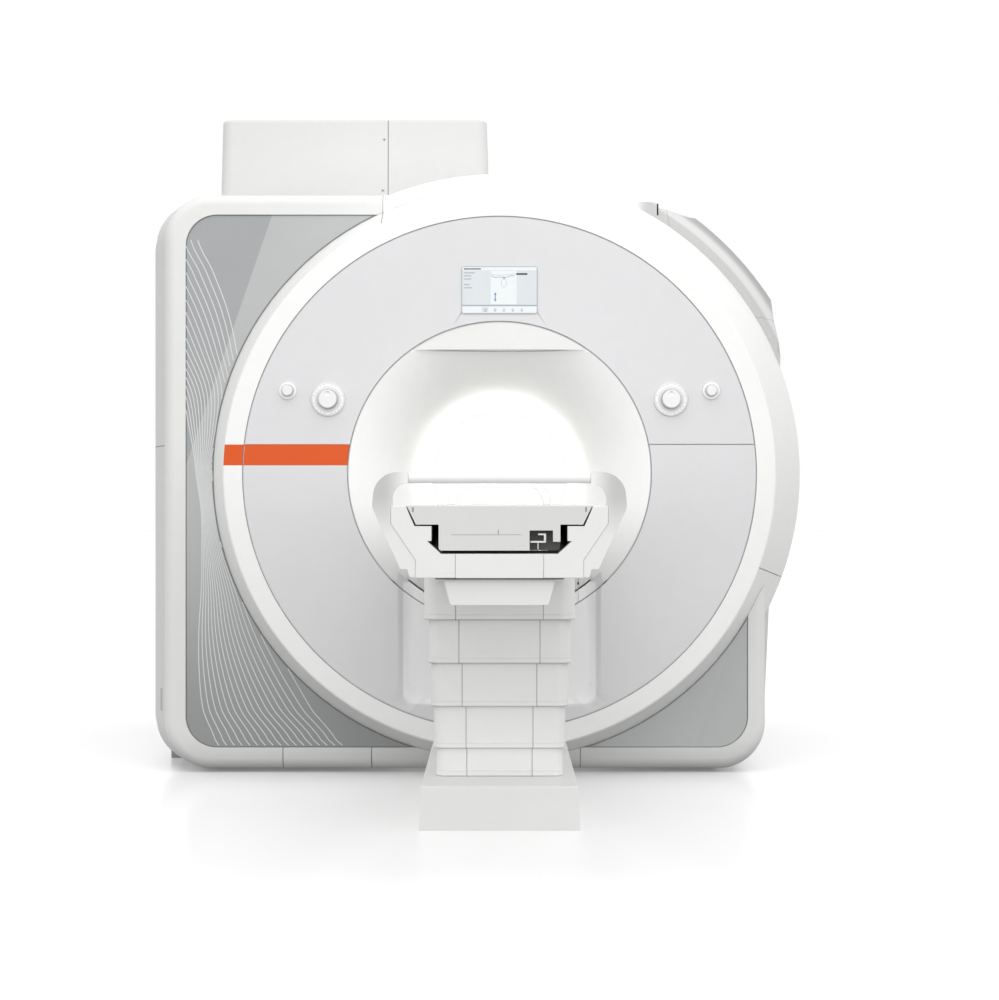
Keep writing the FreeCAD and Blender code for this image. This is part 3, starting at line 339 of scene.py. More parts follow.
def rear_white():
    """Rear cover: louvres low on both sides and fasteners round its edge, drawn as relief."""
    made = satin("rear_white", (0.80, 0.80, 0.79), 0.45)
    behind = made.ramp(made.y, REAR_Y - 0.015, REAR_Y - 0.010)
    row = made.math("PINGPONG", made.z, LOUVRE_STEP)
    aside = made.math("ABSOLUTE", made.math("SUBTRACT", made.x, LOUVRE_MIDDLE_X))
    slats = made.both(
        made.ramp(row, 0.0045, 0.0065),
        made.span(made.z, *LOUVRE_HEIGHTS, 0.001),
        made.span(aside, *LOUVRE_REACH, 0.003),
        behind,
    )
    made.seam(slats, 0.6)
    dots = [
        made.both(made.ramp(made.radius(x, z), FASTENER_R + 0.001, FASTENER_R), behind)
        for x, z in REAR_FASTENERS
    ]
    made.seam(made.either(*dots), 0.35)
    return made.done()


def ring_white():
    """Flat ring round the front: end of the orange band and the gap to the disk."""
    made = satin("ring_white", WHITE)
    made.blend(stripe_mask(made), ORANGE)
    made.shade(made.band(made.radius(), DISK_R, GAP_HALF), GAP_TONE)
    return made.done()


def disk_grey():
    """Disk covers: dish painted lighter as painted light, orange band, joint on the right and a
    gap at both edges.
    """
    made = satin("disk_grey", DISK, 0.38)
    # Painted light: the dish is painted lighter where the table shades it.
    dish = made.both(
        made.span(made.x, -DISH_HALF_X, DISH_HALF_X, 0.01),
        made.span(made.z, DISH_LOW, DISH_HIGH, 0.01),
        made.ramp(made.y, FRONT_Y + 0.002, FRONT_Y + 0.012),
    )
    made.blend(dish, (0.84, 0.84, 0.845))
    made.blend(stripe_mask(made), ORANGE)
    right = made.ramp(made.x, 0.5, 0.54)
    made.seam(made.both(made.band(made.z, SPLIT_Z, SEAM_HALF), right), 0.45)
    edge = made.either(
        made.band(made.radius(), DISK_R, GAP_HALF), made.band(made.radius(), MOUTH_R, GAP_HALF)
    )
    made.shade(edge, GAP_TONE)
    return made.done()


def funnel_white():
    """Funnels: painted shade low down and on the visor, whose lip is a painted shadow line that
    fades at its ends.
    """
    # The pale colour is set lighter than the other covers, partly as painted light.
    made = satin("funnel_white", (0.90, 0.90, 0.89), 0.36)
    # Painted shade towards the bottom.
    made.shade(made.ramp(made.z, 1.02, 0.62), 0.34)
    # Painted shade on the visor, above its lip.
    visor_painted_shade = made.ramp(made.z, VISOR_Z - 0.002, VISOR_Z)
    made.shade(visor_painted_shade, 0.17)
    # Painted shadow line along the visor's lip.
    lip = made.both(
        made.band(made.z, VISOR_Z, 0.0022),
        made.ramp(made.math("ABSOLUTE", made.x), 0.30, 0.20),
    )
    made.shade(lip, 0.35)
    mouth_edge = made.both(
        made.band(made.radius(), MOUTH_R, GAP_HALF),
        made.ramp(made.y, FRONT_Y + 0.008, FRONT_Y + 0.006),
    )
    made.shade(mouth_edge, GAP_TONE)
    return made.done()


def decor_grey():
    """Coated panel: two tones parted by a slanting line, painted light on the right panel,
    painted shade towards the bottom left and a painted shadow round its edge.
    """
    made = Shade("decor_grey", (0.325, 0.335, 0.34), 0.3, coat_weight=0.5, coat_roughness=0.08)
    slant = made.math("SUBTRACT", made.x, made.math("MULTIPLY", made.z, 0.345))
    upper = made.both(made.ramp(slant, -1.546, -1.542), made.ramp(made.x, -0.2, -0.3))
    lower = made.both(made.ramp(slant, 0.684, 0.688), made.ramp(made.x, 0.3, 0.4))
    # Painted light: the right panel is painted lighter.
    right = made.ramp(made.x, 0.3, 0.4)
    made.blend(right, (0.44, 0.45, 0.45))
    made.blend(made.either(upper, lower), (0.43, 0.44, 0.44))
    # Painted shade towards the bottom left.
    made.shade(made.both(made.ramp(made.z, 1.0, 0.05), made.ramp(made.x, 0.3, 0.0)), 0.42)
    made.vary(3.0, 0.03)
    fibre = made.noise(60.0, 3.0, (1.0, 1.0, 14.0))
    made.shade(made.ramp(fibre, 0.4, 0.7), 0.02)
    out_x = made.math("SUBTRACT", made.x, PANEL_MIDDLE[0])
    out_z = made.math("SUBTRACT", made.z, PANEL_MIDDLE[1])
    far_x = made.math("SUBTRACT", made.math("ABSOLUTE", out_x), PANEL_HALF[0] - PANEL_CORNER)
    far_z = made.math("SUBTRACT", made.math("ABSOLUTE", out_z), PANEL_HALF[1] - PANEL_CORNER)
    reach = made.distance(made.math("MAXIMUM", far_x, 0.0), made.math("MAXIMUM", far_z, 0.0))
    # Painted shadow round the panel's edge.
    shadow = made.either(
        made.ramp(reach, PANEL_CORNER - 0.005, PANEL_CORNER - 0.002),
        made.ramp(made.radius(), PANEL_EDGE_R + 0.006, PANEL_EDGE_R + 0.003),
    )
    made.shade(shadow, 0.55)
    made.worn(9.0, 0.05)
    made.grain(900.0, 0.00001)
    return made.done()


def side_grey():
    """Side covers: the corner's grey with painted highlight and painted shade on the right, a
    grip slot and a joint on the left.
    """
    made = satin("side_grey", (0.64, 0.64, 0.635), 0.5)
    shoulder = made.both(made.ramp(made.x, *FAIRING_FADE), made.ramp(made.z, 1.42, 1.56))
    fairing_grey_and_painted_light(made, shoulder)
    slot = made.both(
        made.span(made.z, 0.219, 0.300, 0.004),
        made.span(made.y, -0.84, -0.80, 0.004),
        made.ramp(made.x, -1.1, -1.15),
    )
    made.seam(slot, 0.35)
    split = made.both(made.band(made.z, SPLIT_Z, SEAM_HALF), made.ramp(made.x, -1.0, -1.1))
    made.seam(split, JOINT_TONE)
    return made.done()


def turret_white():
    """Turret on the roof, with the joint between its two covers."""
    made = satin("turret_white", (0.655, 0.655, 0.645), 0.45)
    made.seam(made.band(made.x, TURRET_SEAM_X, SEAM_HALF), 0.4)
    return made.done()


def column_white(index):
    """Telescoping cover: two upright joints in its front and a line and shade at its foot."""
    made = satin(f"column_white_{index + 1}", (0.745, 0.745, 0.732), 0.4)
    front = made.ramp(made.y, COLUMN_Y + 0.06, COLUMN_Y + 0.05)
    upright = made.band(made.math("ABSOLUTE", made.x), COLUMN_SEAMS[index], 0.0007)
    made.seam(made.both(upright, front), 0.6)
    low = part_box(f"column_cover_{index + 1}")[0].z
    made.raise_by(made.band(made.z, low + 0.016, 0.0006), -0.0006)
    made.shade(made.ramp(made.z, low + 0.0045, low + 0.0015), 0.42)
    return made.done()


def chassis():
    """Dark frame under the tabletop, faintly ribbed along its length."""
    made = Shade("chassis_paint", (0.035, 0.035, 0.037), 0.5, metallic=0.4)
    made.vary(8.0, 0.1)
    made.raise_by(made.noise(120.0, 2.0, (1, 30, 1)), 0.00004)
    made.worn(20.0, 0.1)
    return made.done()


def tabletop_shell():
    """Fibre shell: faint weave; at the foot end a joint, a tick, slots and painted shade in the
    pocket.
    """
    made = satin("tabletop_shell", (0.65, 0.65, 0.64), 0.45)
    foot = made.ramp(made.y, TABLE_Y + 0.004, TABLE_Y + 0.003)
    joint = made.both(
        made.band(made.z, 0.9137, 0.0006),
        made.span(made.x, -0.123, 0.055),
        foot,
    )
    made.seam(joint, 0.15)
    tick = made.both(made.span(made.z, 0.9140, 0.9265), made.band(made.x, -0.003, 0.0008), foot)
    made.seam(tick, 0.45)
    slots = made.both(
        made.span(made.math("ABSOLUTE", made.x), 0.2200, 0.2235),
        made.span(made.z, 0.9730, 0.984),
        foot,
    )
    made.seam(slots, 0.6)
    # Painted shade inside the docking pocket.
    inside = made.both(
        made.span(made.x, DOCK_X0 - 0.001, DOCK_X1 + 0.001),
        made.ramp(made.z, 0.926, 0.9255),
        made.span(made.y, TABLE_Y + 0.0012, TABLE_Y + 0.047),
    )
    made.shade(inside, 0.86)
    weave = made.node("ShaderNodeTexChecker", {"Vector": made.place, "Scale": 260.0})
    made.raise_by(weave.outputs["Fac"], 0.00001)
    return made.done()


def handle_white():
    """Handle, with painted shade where its arms bend, and darker low down."""
    made = satin("handle_white", (0.85, 0.85, 0.84), 0.34)
    # Painted shade where the arms bend.
    bend = made.both(
        made.ramp(made.math("ABSOLUTE", made.x), 0.225, 0.300),
        made.ramp(made.z, 0.90, 1.02),
    )
    made.shade(bend, 0.40)
    made.shade(made.ramp(made.z, 1.0, 0.93), 0.12)
    return made.done()


def control_white():
    """Controls, with a darker ring round the face of the big ones."""
    made = satin("control_white", (0.78, 0.78, 0.775), 0.33)
    x, z = KNOB_PLACE
    for side in (-1, 1):
        across = made.radius(side * x, z)
        rim = made.both(made.span(across, 0.0300, 0.0340), made.ramp(made.y, -1.102, -1.096))
        made.shade(rim, 0.30)
    return made.done()


def bezel_white():
    """Control surrounds: a shadow next to each control and a pale ring further out."""
    made = satin("bezel_white", (0.72, 0.72, 0.72), 0.4)
    for (x, z), knob in ((KNOB_PLACE, KNOB_R), (BUTTON_PLACE, BUTTON_R)):
        for side in (-1, 1):
            across = made.radius(side * x, z)
            made.shade(made.ramp(across, knob * 1.22, knob * 1.02), 0.34)
            made.blend(made.band(across, knob * 1.52, knob * 0.10, 0.001), (0.86, 0.86, 0.86))
    return made.done()


def screen_glass():
    """Coated glass with a faint glow."""
    made = Shade("screen", (0.60, 0.64, 0.655), 0.12, coat_weight=0.6, coat_roughness=0.03)
    made.vary(12.0, 0.03)
    made.worn(30.0, 0.06)
    cells = made.node("ShaderNodeTexChecker", {"Vector": made.place, "Scale": 900.0})
    made.shade(cells.outputs["Fac"], 0.015)
    made.shader.inputs["Emission Color"].default_value = (0.86, 0.91, 0.93, 1.0)
    made.shader.inputs["Emission Strength"].default_value = 0.05
    return made.done()


def arch_clear():
    """Hazy clear plastic."""
    made = Shade(
        "arch_clear", (0.60, 0.61, 0.61), 0.3, transmission_weight=0.1, ior=1.3, alpha=0.85
    )
    made.vary(14.0, 0.04)
    made.worn(25.0, 0.12)
    made.grain(400.0, 0.00003)
    return made.done()


def metal(name, colour, roughness, stretch=(1, 1, 1)):
    """Drawn or machined metal with fine lines; stretch squeezes them along an axis."""
    made = Shade(name, colour, roughness, metallic=1.0)
    lines = made.noise(240.0, 3.0, stretch)
    made.raise_by(lines, 0.00004)
    made.shade(made.ramp(lines, 0.3, 0.7), 0.08)
    made.vary(5.0, 0.08)
    made.worn(18.0, 0.15)
    return made


def vessel_steel():
    """Welded shell: brushed plate with weld beads at even steps along the axis."""
    made = metal("vessel_steel", (0.56, 0.57, 0.58), 0.28, (1, 12, 1))
    step = made.math("PINGPONG", made.math("ADD", made.y, 3.0), 0.3)
    bead = made.ramp(step, 0.006, 0.002)
    made.raise_by(bead, 0.0012)
    made.shade(bead, 0.25)
    return made.done()


def coil_copper():
    """Wound conductor: close turns seen as fine grooves."""
    made = metal("coil_copper", (0.62, 0.27, 0.13), 0.32)
    turns = made.math("SINE", made.math("MULTIPLY", made.y, 2600.0))
    made.raise_by(turns, 0.0003)
    made.shade(made.ramp(turns, 0.0, -1.0), 0.4)
    return made.done()


def painted(name, colour, roughness=0.5, metallic=0.0):
    """Plain painted or cast piece."""
    made = Shade(name, colour, roughness, metallic=metallic)
    made.vary(6.0, 0.1)
    made.worn(14.0, 0.12)
    made.raise_by(made.noise(160.0, 3.0), 0.00008)
    return made.done()


def rubber_black(name):
    """Dull black rubber."""
    made = Shade(name, (0.02, 0.02, 0.02), 0.6)
    made.vary(40.0, 0.2)
    made.grain(900.0, 0.00005)
    return made.done()


# ---------------------------------------------------------------- meshes of the CAD nodes
SHARP_ANGLE = math.radians(35)
BEVEL_ANGLE = math.radians(40)


def smoothing_group():
    """Smooth shading, but sharp where faces meet at more than SHARP_ANGLE."""
    group = bpy.data.node_groups.new("smooth_by_angle", "GeometryNodeTree")
    group.interface.new_socket("Geometry", in_out="INPUT", socket_type="NodeSocketGeometry")
    group.interface.new_socket("Geometry", in_out="OUTPUT", socket_type="NodeSocketGeometry")
    start = group.nodes.new("NodeGroupInput")
    end = group.nodes.new("NodeGroupOutput")
    angle = group.nodes.new("GeometryNodeInputMeshEdgeAngle")
    sharp = group.nodes.new("FunctionNodeCompare")
    sharp.data_type = "FLOAT"
    sharp.operation = "GREATER_THAN"
    sharp.inputs[1].default_value = SHARP_ANGLE
    faces = group.nodes.new("GeometryNodeSetShadeSmooth")
    faces.domain = "FACE"
    faces.inputs["Shade Smooth"].default_value = True
    edges = group.nodes.new("GeometryNodeSetShadeSmooth")
    edges.domain = "EDGE"
    edges.inputs["Shade Smooth"].default_value = False
    links = group.links
    links.new(start.outputs[0], faces.inputs["Geometry"])
    links.new(faces.outputs[0], edges.inputs["Geometry"])
    links.new(angle.outputs["Unsigned Angle"], sharp.inputs[0])
    links.new(sharp.outputs[0], edges.inputs["Selection"])
    links.new(edges.outputs[0], end.inputs[0])
    return group


SMOOTH = smoothing_group()


def soften(obj, width, segments=2):
    """Rounded edges and clean normals on one piece, as modifiers."""
    weld = obj.modifiers.new("weld", "WELD")
    weld.merge_threshold = 0.00001
    if width:
        bevel = obj.modifiers.new("edges", "BEVEL")
        bevel.width = width
        bevel.segments = segments
        bevel.limit_method = "ANGLE"
        bevel.angle_limit = BEVEL_ANGLE
        bevel.use_clamp_overlap = True
    smooth = obj.modifiers.new("smooth", "NODES")
    smooth.node_group = SMOOTH
    normals = obj.modifiers.new("normals", "WEIGHTED_NORMAL")
    normals.keep_sharp = True
    normals.weight = 100


def dress(names, material, width=EDGE, segments=2):
    """Gives CAD nodes their material and rounds their edges."""
    for name in names:
        obj = frame["nodes"][name]
        obj.data.materials.clear()
        obj.data.materials.append(material)
        for polygon in obj.data.polygons:
            polygon.material_index = 0
        soften(obj, width, segments)


# ---------------------------------------------------------------- pieces added to the CAD
DISC_SIDES = 16


class Sheet:
    """A mesh being filled with flat and solid bits, each with one of several materials."""

    def __init__(self, name, materials):
        self.name = name
        self.materials = materials
        self.vertices = []
        self.faces = []
        self.kinds = []

    def add(self, points, faces, kind=0):
        base = len(self.vertices)
        self.vertices.extend(points)
        for face in faces:
            self.faces.append([base + i for i in face])
            self.kinds.append(kind)

    def slab(self, corners, depth, kind=0):
        """A thin plate: corners are its front outline, and it goes depth to the back."""
        count = len(corners)
        back = [(x, y + depth, z) for x, y, z in corners]
        sides = [[i, i + count, (i + 1) % count + count, (i + 1) % count] for i in range(count)]
        ends = [list(range(count)), list(range(2 * count - 1, count - 1, -1))]
        self.add(corners + back, ends + sides, kind)

    def rect(self, x0, x1, z0, z1, y, depth, kind):
        """An upright plate from x0 to x1 and z0 to z1, its front at y."""
        self.slab([(x0, y, z0), (x1, y, z0), (x1, y, z1), (x0, y, z1)], depth, kind)

    def disc(self, x, z, radius, y, depth, kind, inner=0.0):
        """A round plate, or a ring when inner is given."""

        def point(r, a):
            return (x + r * math.cos(a), y, z + r * math.sin(a))

        turn = [2 * math.pi * i / DISC_SIDES for i in range(DISC_SIDES)]
        if not inner:
            self.slab([point(radius, a) for a in turn], depth, kind)
            return
        for i, a in enumerate(turn):
            b = turn[(i + 1) % DISC_SIDES]
            corners = [point(inner, a), point(radius, a), point(radius, b), point(inner, b)]
            self.slab(corners, depth, kind)

    def stroke(self, points, half, y, depth=0.0003, kind=0):
        """A flat line of even width through points given in X and Z."""
        if len(points) < 2:
            return
        left, right = [], []
        for i, (x, z) in enumerate(points):
            ahead = points[min(i + 1, len(points) - 1)]
            behind = points[max(i - 1, 0)]
            dx, dz = ahead[0] - behind[0], ahead[1] - behind[1]
            size = math.hypot(dx, dz)
            nx, nz = -dz / size * half, dx / size * half
            left.append((x + nx, y, z + nz))
            right.append((x - nx, y, z - nz))
        for i in range(len(points) - 1):
            self.slab([left[i], left[i + 1], right[i + 1], right[i]], depth, kind)

    def made(self, body, slot, width=NO_EDGE):
        """The finished object, riding a body; the slot argument is not used."""
        mesh = bpy.data.meshes.new(self.name)
        mesh.from_pydata(self.vertices, [], self.faces)
        mesh.update()
        fixed = bmesh.new()
        fixed.from_mesh(mesh)
        bmesh.ops.recalc_face_normals(fixed, faces=fixed.faces)
        fixed.to_mesh(mesh)
        fixed.free()
        for material in self.materials:
            mesh.materials.append(material)
        for polygon, kind in zip(mesh.polygons, self.kinds):
            polygon.material_index = kind
        obj = bpy.data.objects.new(self.name, mesh)
        bpy.context.scene.collection.objects.link(obj)
        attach(obj, body)
        if width:
            soften(obj, width)


# ---- flowing lines on the left decor panel ----
LINE_COUNT = 17
LINE_HALF = 0.0017
LINE_STEP = 0.02
LINE_MARGIN = 0.004
# Each row: height, place of the first line, place of the last line, and how the spacing opens.
UPPER_LINES = (
    (1.960, -1.110, -1.520, 1.0),
    (1.849, -1.056, -1.460, 1.0),
    (1.702, -1.001, -1.360, 1.0),
    (1.554, -0.968, -1.264, 1.0),
    (1.407, -0.952, -1.176, 1.0),
    (1.260, -0.990, -1.140, 1.0),
    (1.113, -1.050, -1.118, 1.0),
)
LOWER_LINES = (
    (1.113, -1.050, -1.118, 1.0),
    (0.966, -1.040, -1.098, 1.0),
    (0.819, -1.005, -1.095, 0.9),
    (0.671, -0.930, -1.097, 0.8),
    (0.524, -0.855, -1.106, 0.75),
    (0.377, -0.775, -1.105, 0.8),
    (0.230, -0.690, -1.090, 0.9),
    (0.119, -0.600, -1.045, 1.0),
    (0.080, -0.565, -1.025, 1.0),
)


def through(rows, column, height):
    """Smooth curve through the rows at a height."""
    for i in range(len(rows) - 1):
        high, low = rows[i][0], rows[i + 1][0]
        if low <= height <= high:
            t = (high - height) / (high - low)
            before = rows[max(i - 1, 0)][column]
            a, b = rows[i][column], rows[i + 1][column]
            after = rows[min(i + 2, len(rows) - 1)][column]
            return 0.5 * (
                2 * a
                + (b - before) * t
                + (2 * before - 5 * a + 4 * b - after) * t**2
                + (3 * a - before - 3 * b + after) * t**3
            )
    return rows[-1][column]


def on_left_panel(x, z):
    """Whether a place is on the left panel, clear of its edges."""
    low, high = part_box("panel_left")
    if x < low.x + LINE_MARGIN or z < low.z + LINE_MARGIN or z > high.z - LINE_MARGIN:
        return False
    cx = low.x + PANEL_CORNER
    cz = min(max(z, low.z + PANEL_CORNER), high.z - PANEL_CORNER)
    if x < cx and math.hypot(x - cx, z - cz) > PANEL_CORNER - LINE_MARGIN:
        return False
    return math.hypot(x, z - AXIS_Z) > PANEL_EDGE_R + LINE_MARGIN


def decor_lines(material):
    """Printed lines that sweep down the left panel, close up at its waist and fan out again."""
    sheet = Sheet("decor_lines", [material])
    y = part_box("panel_left")[0].y - 0.0004
    for rows in (UPPER_LINES, LOWER_LINES):
        start, ending = rows[0][0], rows[-1][0]
        steps = int((start - ending) / LINE_STEP)
        for line in range(LINE_COUNT):
            run = []
            for step in range(steps + 1):
                z = start - (start - ending) * step / steps
                first, last = through(rows, 1, z), through(rows, 2, z)
                share = (line / (LINE_COUNT - 1)) ** through(rows, 3, z)
                x = first + (last - first) * share
                if on_left_panel(x, z):
                    run.append((x, z))
                else:
                    sheet.stroke(run, LINE_HALF, y)
                    run = []
            sheet.stroke(run, LINE_HALF, y)
    sheet.made("gantry", "decor_grey")


# ---- picture on the display ----
LAYER = 0.0001
PICTURE_MARGIN = 0.003


def screen_picture(kinds):
    """Plain picture of the table and a lying body with rows of bars and icons; no writing.

    Its places are shares of the picture's half width and half height from its middle.
    """
    sheet = Sheet("screen_picture", kinds)
    low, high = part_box("display_bezel")
    y = low.y - 0.0003
    pale, white, grey, dark, blue, line, glass = range(7)
    cx = (low.x + high.x) / 2
    cz = (low.z + high.z) / 2
    w = (high.x - low.x) / 2 - PICTURE_MARGIN
    h = (high.z - low.z) / 2 - PICTURE_MARGIN

    def rect(x0, x1, z0, z1, kind, lift=1):
        (left, bottom), (right, top) = at([(x0, z0), (x1, z1)])
        sheet.rect(left, right, bottom, top, y - LAYER * lift, LAYER, kind)

    def at(places):
        return [(cx + a * w, cz + b * h) for a, b in places]

    rect(-1, 1, -1, 1, glass, 0)
    rect(-1, 1, 0.86, 1, white)
    rect(-0.96, -0.50, 0.895, 0.945, dark, 2)
    for z, x1 in ((0.75, -0.66), (0.62, -0.76), (0.48, -0.76), (0.24, -0.80), (0.10, -0.74)):
        rect(-0.96, x1, z - 0.022, z + 0.022, grey)
    rect(0.45, 0.75, 0.66, 0.74, dark)
    rect(-0.24, 0.46, -0.62, 0.84, white)
    rect(-1, 1, -0.70, -0.64, grey)
    rect(-1, 1, -0.98, -0.71, white)
    rect(-0.47, -0.30, -0.95, -0.74, pale, 2)
    for x in (-0.38, -0.12, 0.12, 0.36, 0.60):
        sheet.disc(*at([(x, -0.85)])[0], 0.0045, y - 3 * LAYER, LAYER, grey, 0.0028)
        rect(x - 0.015, x + 0.015, -0.93, -0.88, line, 2)
    upper = y - 2 * LAYER
    table = [(-0.23, 0.62), (-0.14, 0.56), (0.20, 0.56), (0.30, 0.62), (0.42, 0.62)]
    sheet.stroke(at(table), 0.0008, upper, LAYER, line)
    tray = [(-0.23, 0.80), (-0.23, 0.68), (0.02, 0.64), (0.30, 0.68), (0.42, 0.72)]
    sheet.stroke(at(tray), 0.0006, upper, LAYER, grey)
    body = [(0.10, 0.48), (0.05, 0.40), (0.06, 0.18), (0.12, 0.12), (0.18, 0.18)]
    body += [(0.19, 0.40), (0.14, 0.48), (0.10, 0.48)]
    sheet.stroke(at(body), 0.0006, upper, LAYER, grey)
    sheet.disc(*at([(0.12, 0.52)])[0], 0.0035, upper, LAYER, grey)
    for sign in (1, -1):
        tip = -0.30 + sign * 0.20
        arrow = [(-0.155, tip - sign * 0.10), (-0.075, tip - sign * 0.10), (-0.115, tip)]
        sheet.slab([(x, upper, z) for x, z in at(arrow)], LAYER, blue)
    rect(-0.128, -0.102, -0.40, -0.20, blue, 2)
    sheet.made("gantry", "screen")


def plain(name, colour, glow=0.0):
    """Printed or painted detail, with a faint glow on the display."""
    made = Shade(name, colour, 0.3)
    made.vary(60.0, 0.03)
    made.grain(900.0, 0.000005)
    if glow:
        made.shader.inputs["Emission Color"].default_value = tuple(colour) + (1.0,)
        made.shader.inputs["Emission Strength"].default_value = glow
    return made.done()


# ---- small parts ----
SCREW_SIDES = 20
HEAD, SOCKET = 0, 1


def screw(sheet, place, radius, normal):
    """A button-head screw with a round socket, its axis along normal."""
    normal = Vector(normal).normalized()
    side = normal.orthogonal().normalized()
    up = normal.cross(side)
    centre = Vector(place)

    def ring(r, lift):
        return [
            tuple(centre + normal * lift + side * (r * math.cos(t)) + up * (r * math.sin(t)))
            for t in (2 * math.pi * i / SCREW_SIDES for i in range(SCREW_SIDES))
        ]

    def walls(rows):
        """Faces between each ring of points and the next."""
        faces = []
        for start in range(0, rows * SCREW_SIDES, SCREW_SIDES):
            for i in range(SCREW_SIDES):
                a, b = start + i, start + (i + 1) % SCREW_SIDES
                faces.append([a, b, b + SCREW_SIDES, a + SCREW_SIDES])
        return faces

    # Shares of the radius: how wide the head is, and how far out.
    levels = [(1.0, 0.0), (1.0, 0.25), (0.75, 0.5), (0.4, 0.55)]
    points = [p for width, lift in levels for p in ring(radius * width, radius * lift)]
    bottom = [list(range(SCREW_SIDES - 1, -1, -1))]
    sheet.add(points, walls(len(levels) - 1) + bottom, HEAD)
    points = ring(radius * 0.4, radius * 0.55) + ring(radius * 0.4, radius * 0.2)
    bottom = [list(range(SCREW_SIDES, 2 * SCREW_SIDES))]
    sheet.add(points, walls(1) + bottom, SOCKET)


# Flat bits at the foot end: left, right, low, high, how far behind the end, depth, kind.
LATCH_BITS = (
    (0.0990, 0.1190, 0.9130, 0.9170, 0.0060, 0.020, 0),
    (0.1140, 0.1190, 0.8980, 0.9130, 0.0060, 0.020, 0),
    (0.0790, 0.1190, 0.8935, 0.8980, 0.0060, 0.020, 0),
    (0.0975, 0.1000, 0.8760, 0.8935, 0.0100, 0.012, 0),
)
# Painted shade: a dark brush behind the end cover and a dark strip for the shadow under it;
# then the strap under its right end and the strap's loop.
SHADE_SHEET_AND_STRAP_BITS = (
    (-0.150, 0.150, 0.8125, 0.8725, 0.0605, 0.004, 0),
    (-0.165, 0.165, 0.7996, 0.8020, 0.0040, 0.020, 0),
    (0.2010, 0.2026, 0.7380, 0.8015, 0.0120, 0.003, 1),
    (0.1996, 0.2042, 0.7860, 0.7925, 0.0110, 0.005, 0),
)


def table_fittings(light, dark, strap):
    """Latch in the docking pocket; at the end cover, dark sheets of painted shade and a strap.
    """
    latch = Sheet("dock_latch", [light])
    seal = Sheet("table_shade_sheets_and_strap", [dark, strap])
    for sheet, bits in ((latch, LATCH_BITS), (seal, SHADE_SHEET_AND_STRAP_BITS)):
        for x0, x1, z0, z1, behind, depth, kind in bits:
            sheet.rect(x0, x1, z0, z1, TABLE_Y + behind, depth, kind)
    latch.made("patient_top", "table_white", SMALL_EDGE)
    seal.made("table_lift", "drive_black")


WEB_X = (0.5945, 0.5998)
WEB_LOW = 2.0775
WEB_TOP = 2.1215
WEB_BACK_Y = -0.6190


def shoulder_web(white):
    """Triangular web that closes the step of the top cover at the right shoulder."""
    web = Sheet("shoulder_web", [white])
    outline = [(FLARE_BACK_Y, WEB_LOW), (FLARE_BACK_Y, WEB_TOP), (WEB_BACK_Y, WEB_TOP)]
    points = [(x, y, z) for x in WEB_X for y, z in outline]
    web.add(points, [[0, 1, 2], [5, 4, 3], [0, 3, 4, 1], [1, 4, 5, 2], [2, 5, 3, 0]])
    web.made("gantry", "cover_white")


GASKET_INNER = 1.035
GASKET_OUTER = 1.040
GASKET_BACK_Y = -0.7020
GASKET_SIDES = 96


def flare_gasket(grey):
    """Ring that fills the gap between the flare and the covers behind it."""
    seal = Sheet("flare_gasket", [grey])
    rings = [
        (GASKET_OUTER, FLARE_BACK_Y),
        (GASKET_OUTER, GASKET_BACK_Y),
        (GASKET_INNER, GASKET_BACK_Y),
        (GASKET_INNER, FLARE_BACK_Y),
    ]
    points = []
    faces = []
    for i in range(GASKET_SIDES):
        turn = 2 * math.pi * i / GASKET_SIDES
        points += [(r * math.cos(turn), y, AXIS_Z + r * math.sin(turn)) for r, y in rings]
        a, b = 4 * i, 4 * ((i + 1) % GASKET_SIDES)
        faces += [[a + k, b + k, b + (k + 1) % 4, a + (k + 1) % 4] for k in range(4)]
    seal.add(points, faces)
    seal.made("gantry", "plinth_metal")


# Front of the turret, which leans back: its place at the foot, and the lean over its height.
TURRET_FRONT_Y = -0.265
TURRET_FOOT_Z = 2.129
TURRET_HEIGHT = 0.388
TURRET_LEAN = 0.006
TURRET_SCREWS = ((-0.459, 2.438), (-0.464, 2.235))
SCREW_R = 0.0065
SCREW_SUNK = 0.0005


def turret_screws(head, socket):
    """Fasteners of the turret's joint, on its front."""
    sheet = Sheet("turret_screws", [head, socket])
    for x, z in TURRET_SCREWS:
        y = TURRET_FRONT_Y + TURRET_LEAN * (z - TURRET_FOOT_Z) / TURRET_HEIGHT
        screw(sheet, (x, y + SCREW_SUNK, z), SCREW_R, (0, -1, 0))
    sheet.made("gantry", "control_white")


TICKS = 24
TICK_REACH = (0.0500, 0.0545)


def knob_marks(material):
    """Short printed ticks round each big control, left out at its four quarters."""
    sheet = Sheet("knob_marks", [material])
    low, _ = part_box("control_bezels")
    y = low.y - 0.0003
    for side in (-1, 1):
        cx, cz = side * KNOB_PLACE[0], KNOB_PLACE[1]
        for i in range(TICKS):
            if i % (TICKS // 4) == 0:
                continue
            a = 2 * math.pi * i / TICKS
            tick = [(cx + r * math.cos(a), cz + r * math.sin(a)) for r in TICK_REACH]
            sheet.stroke(tick, 0.0010, y)
    sheet.made("gantry", "bezel_grey")


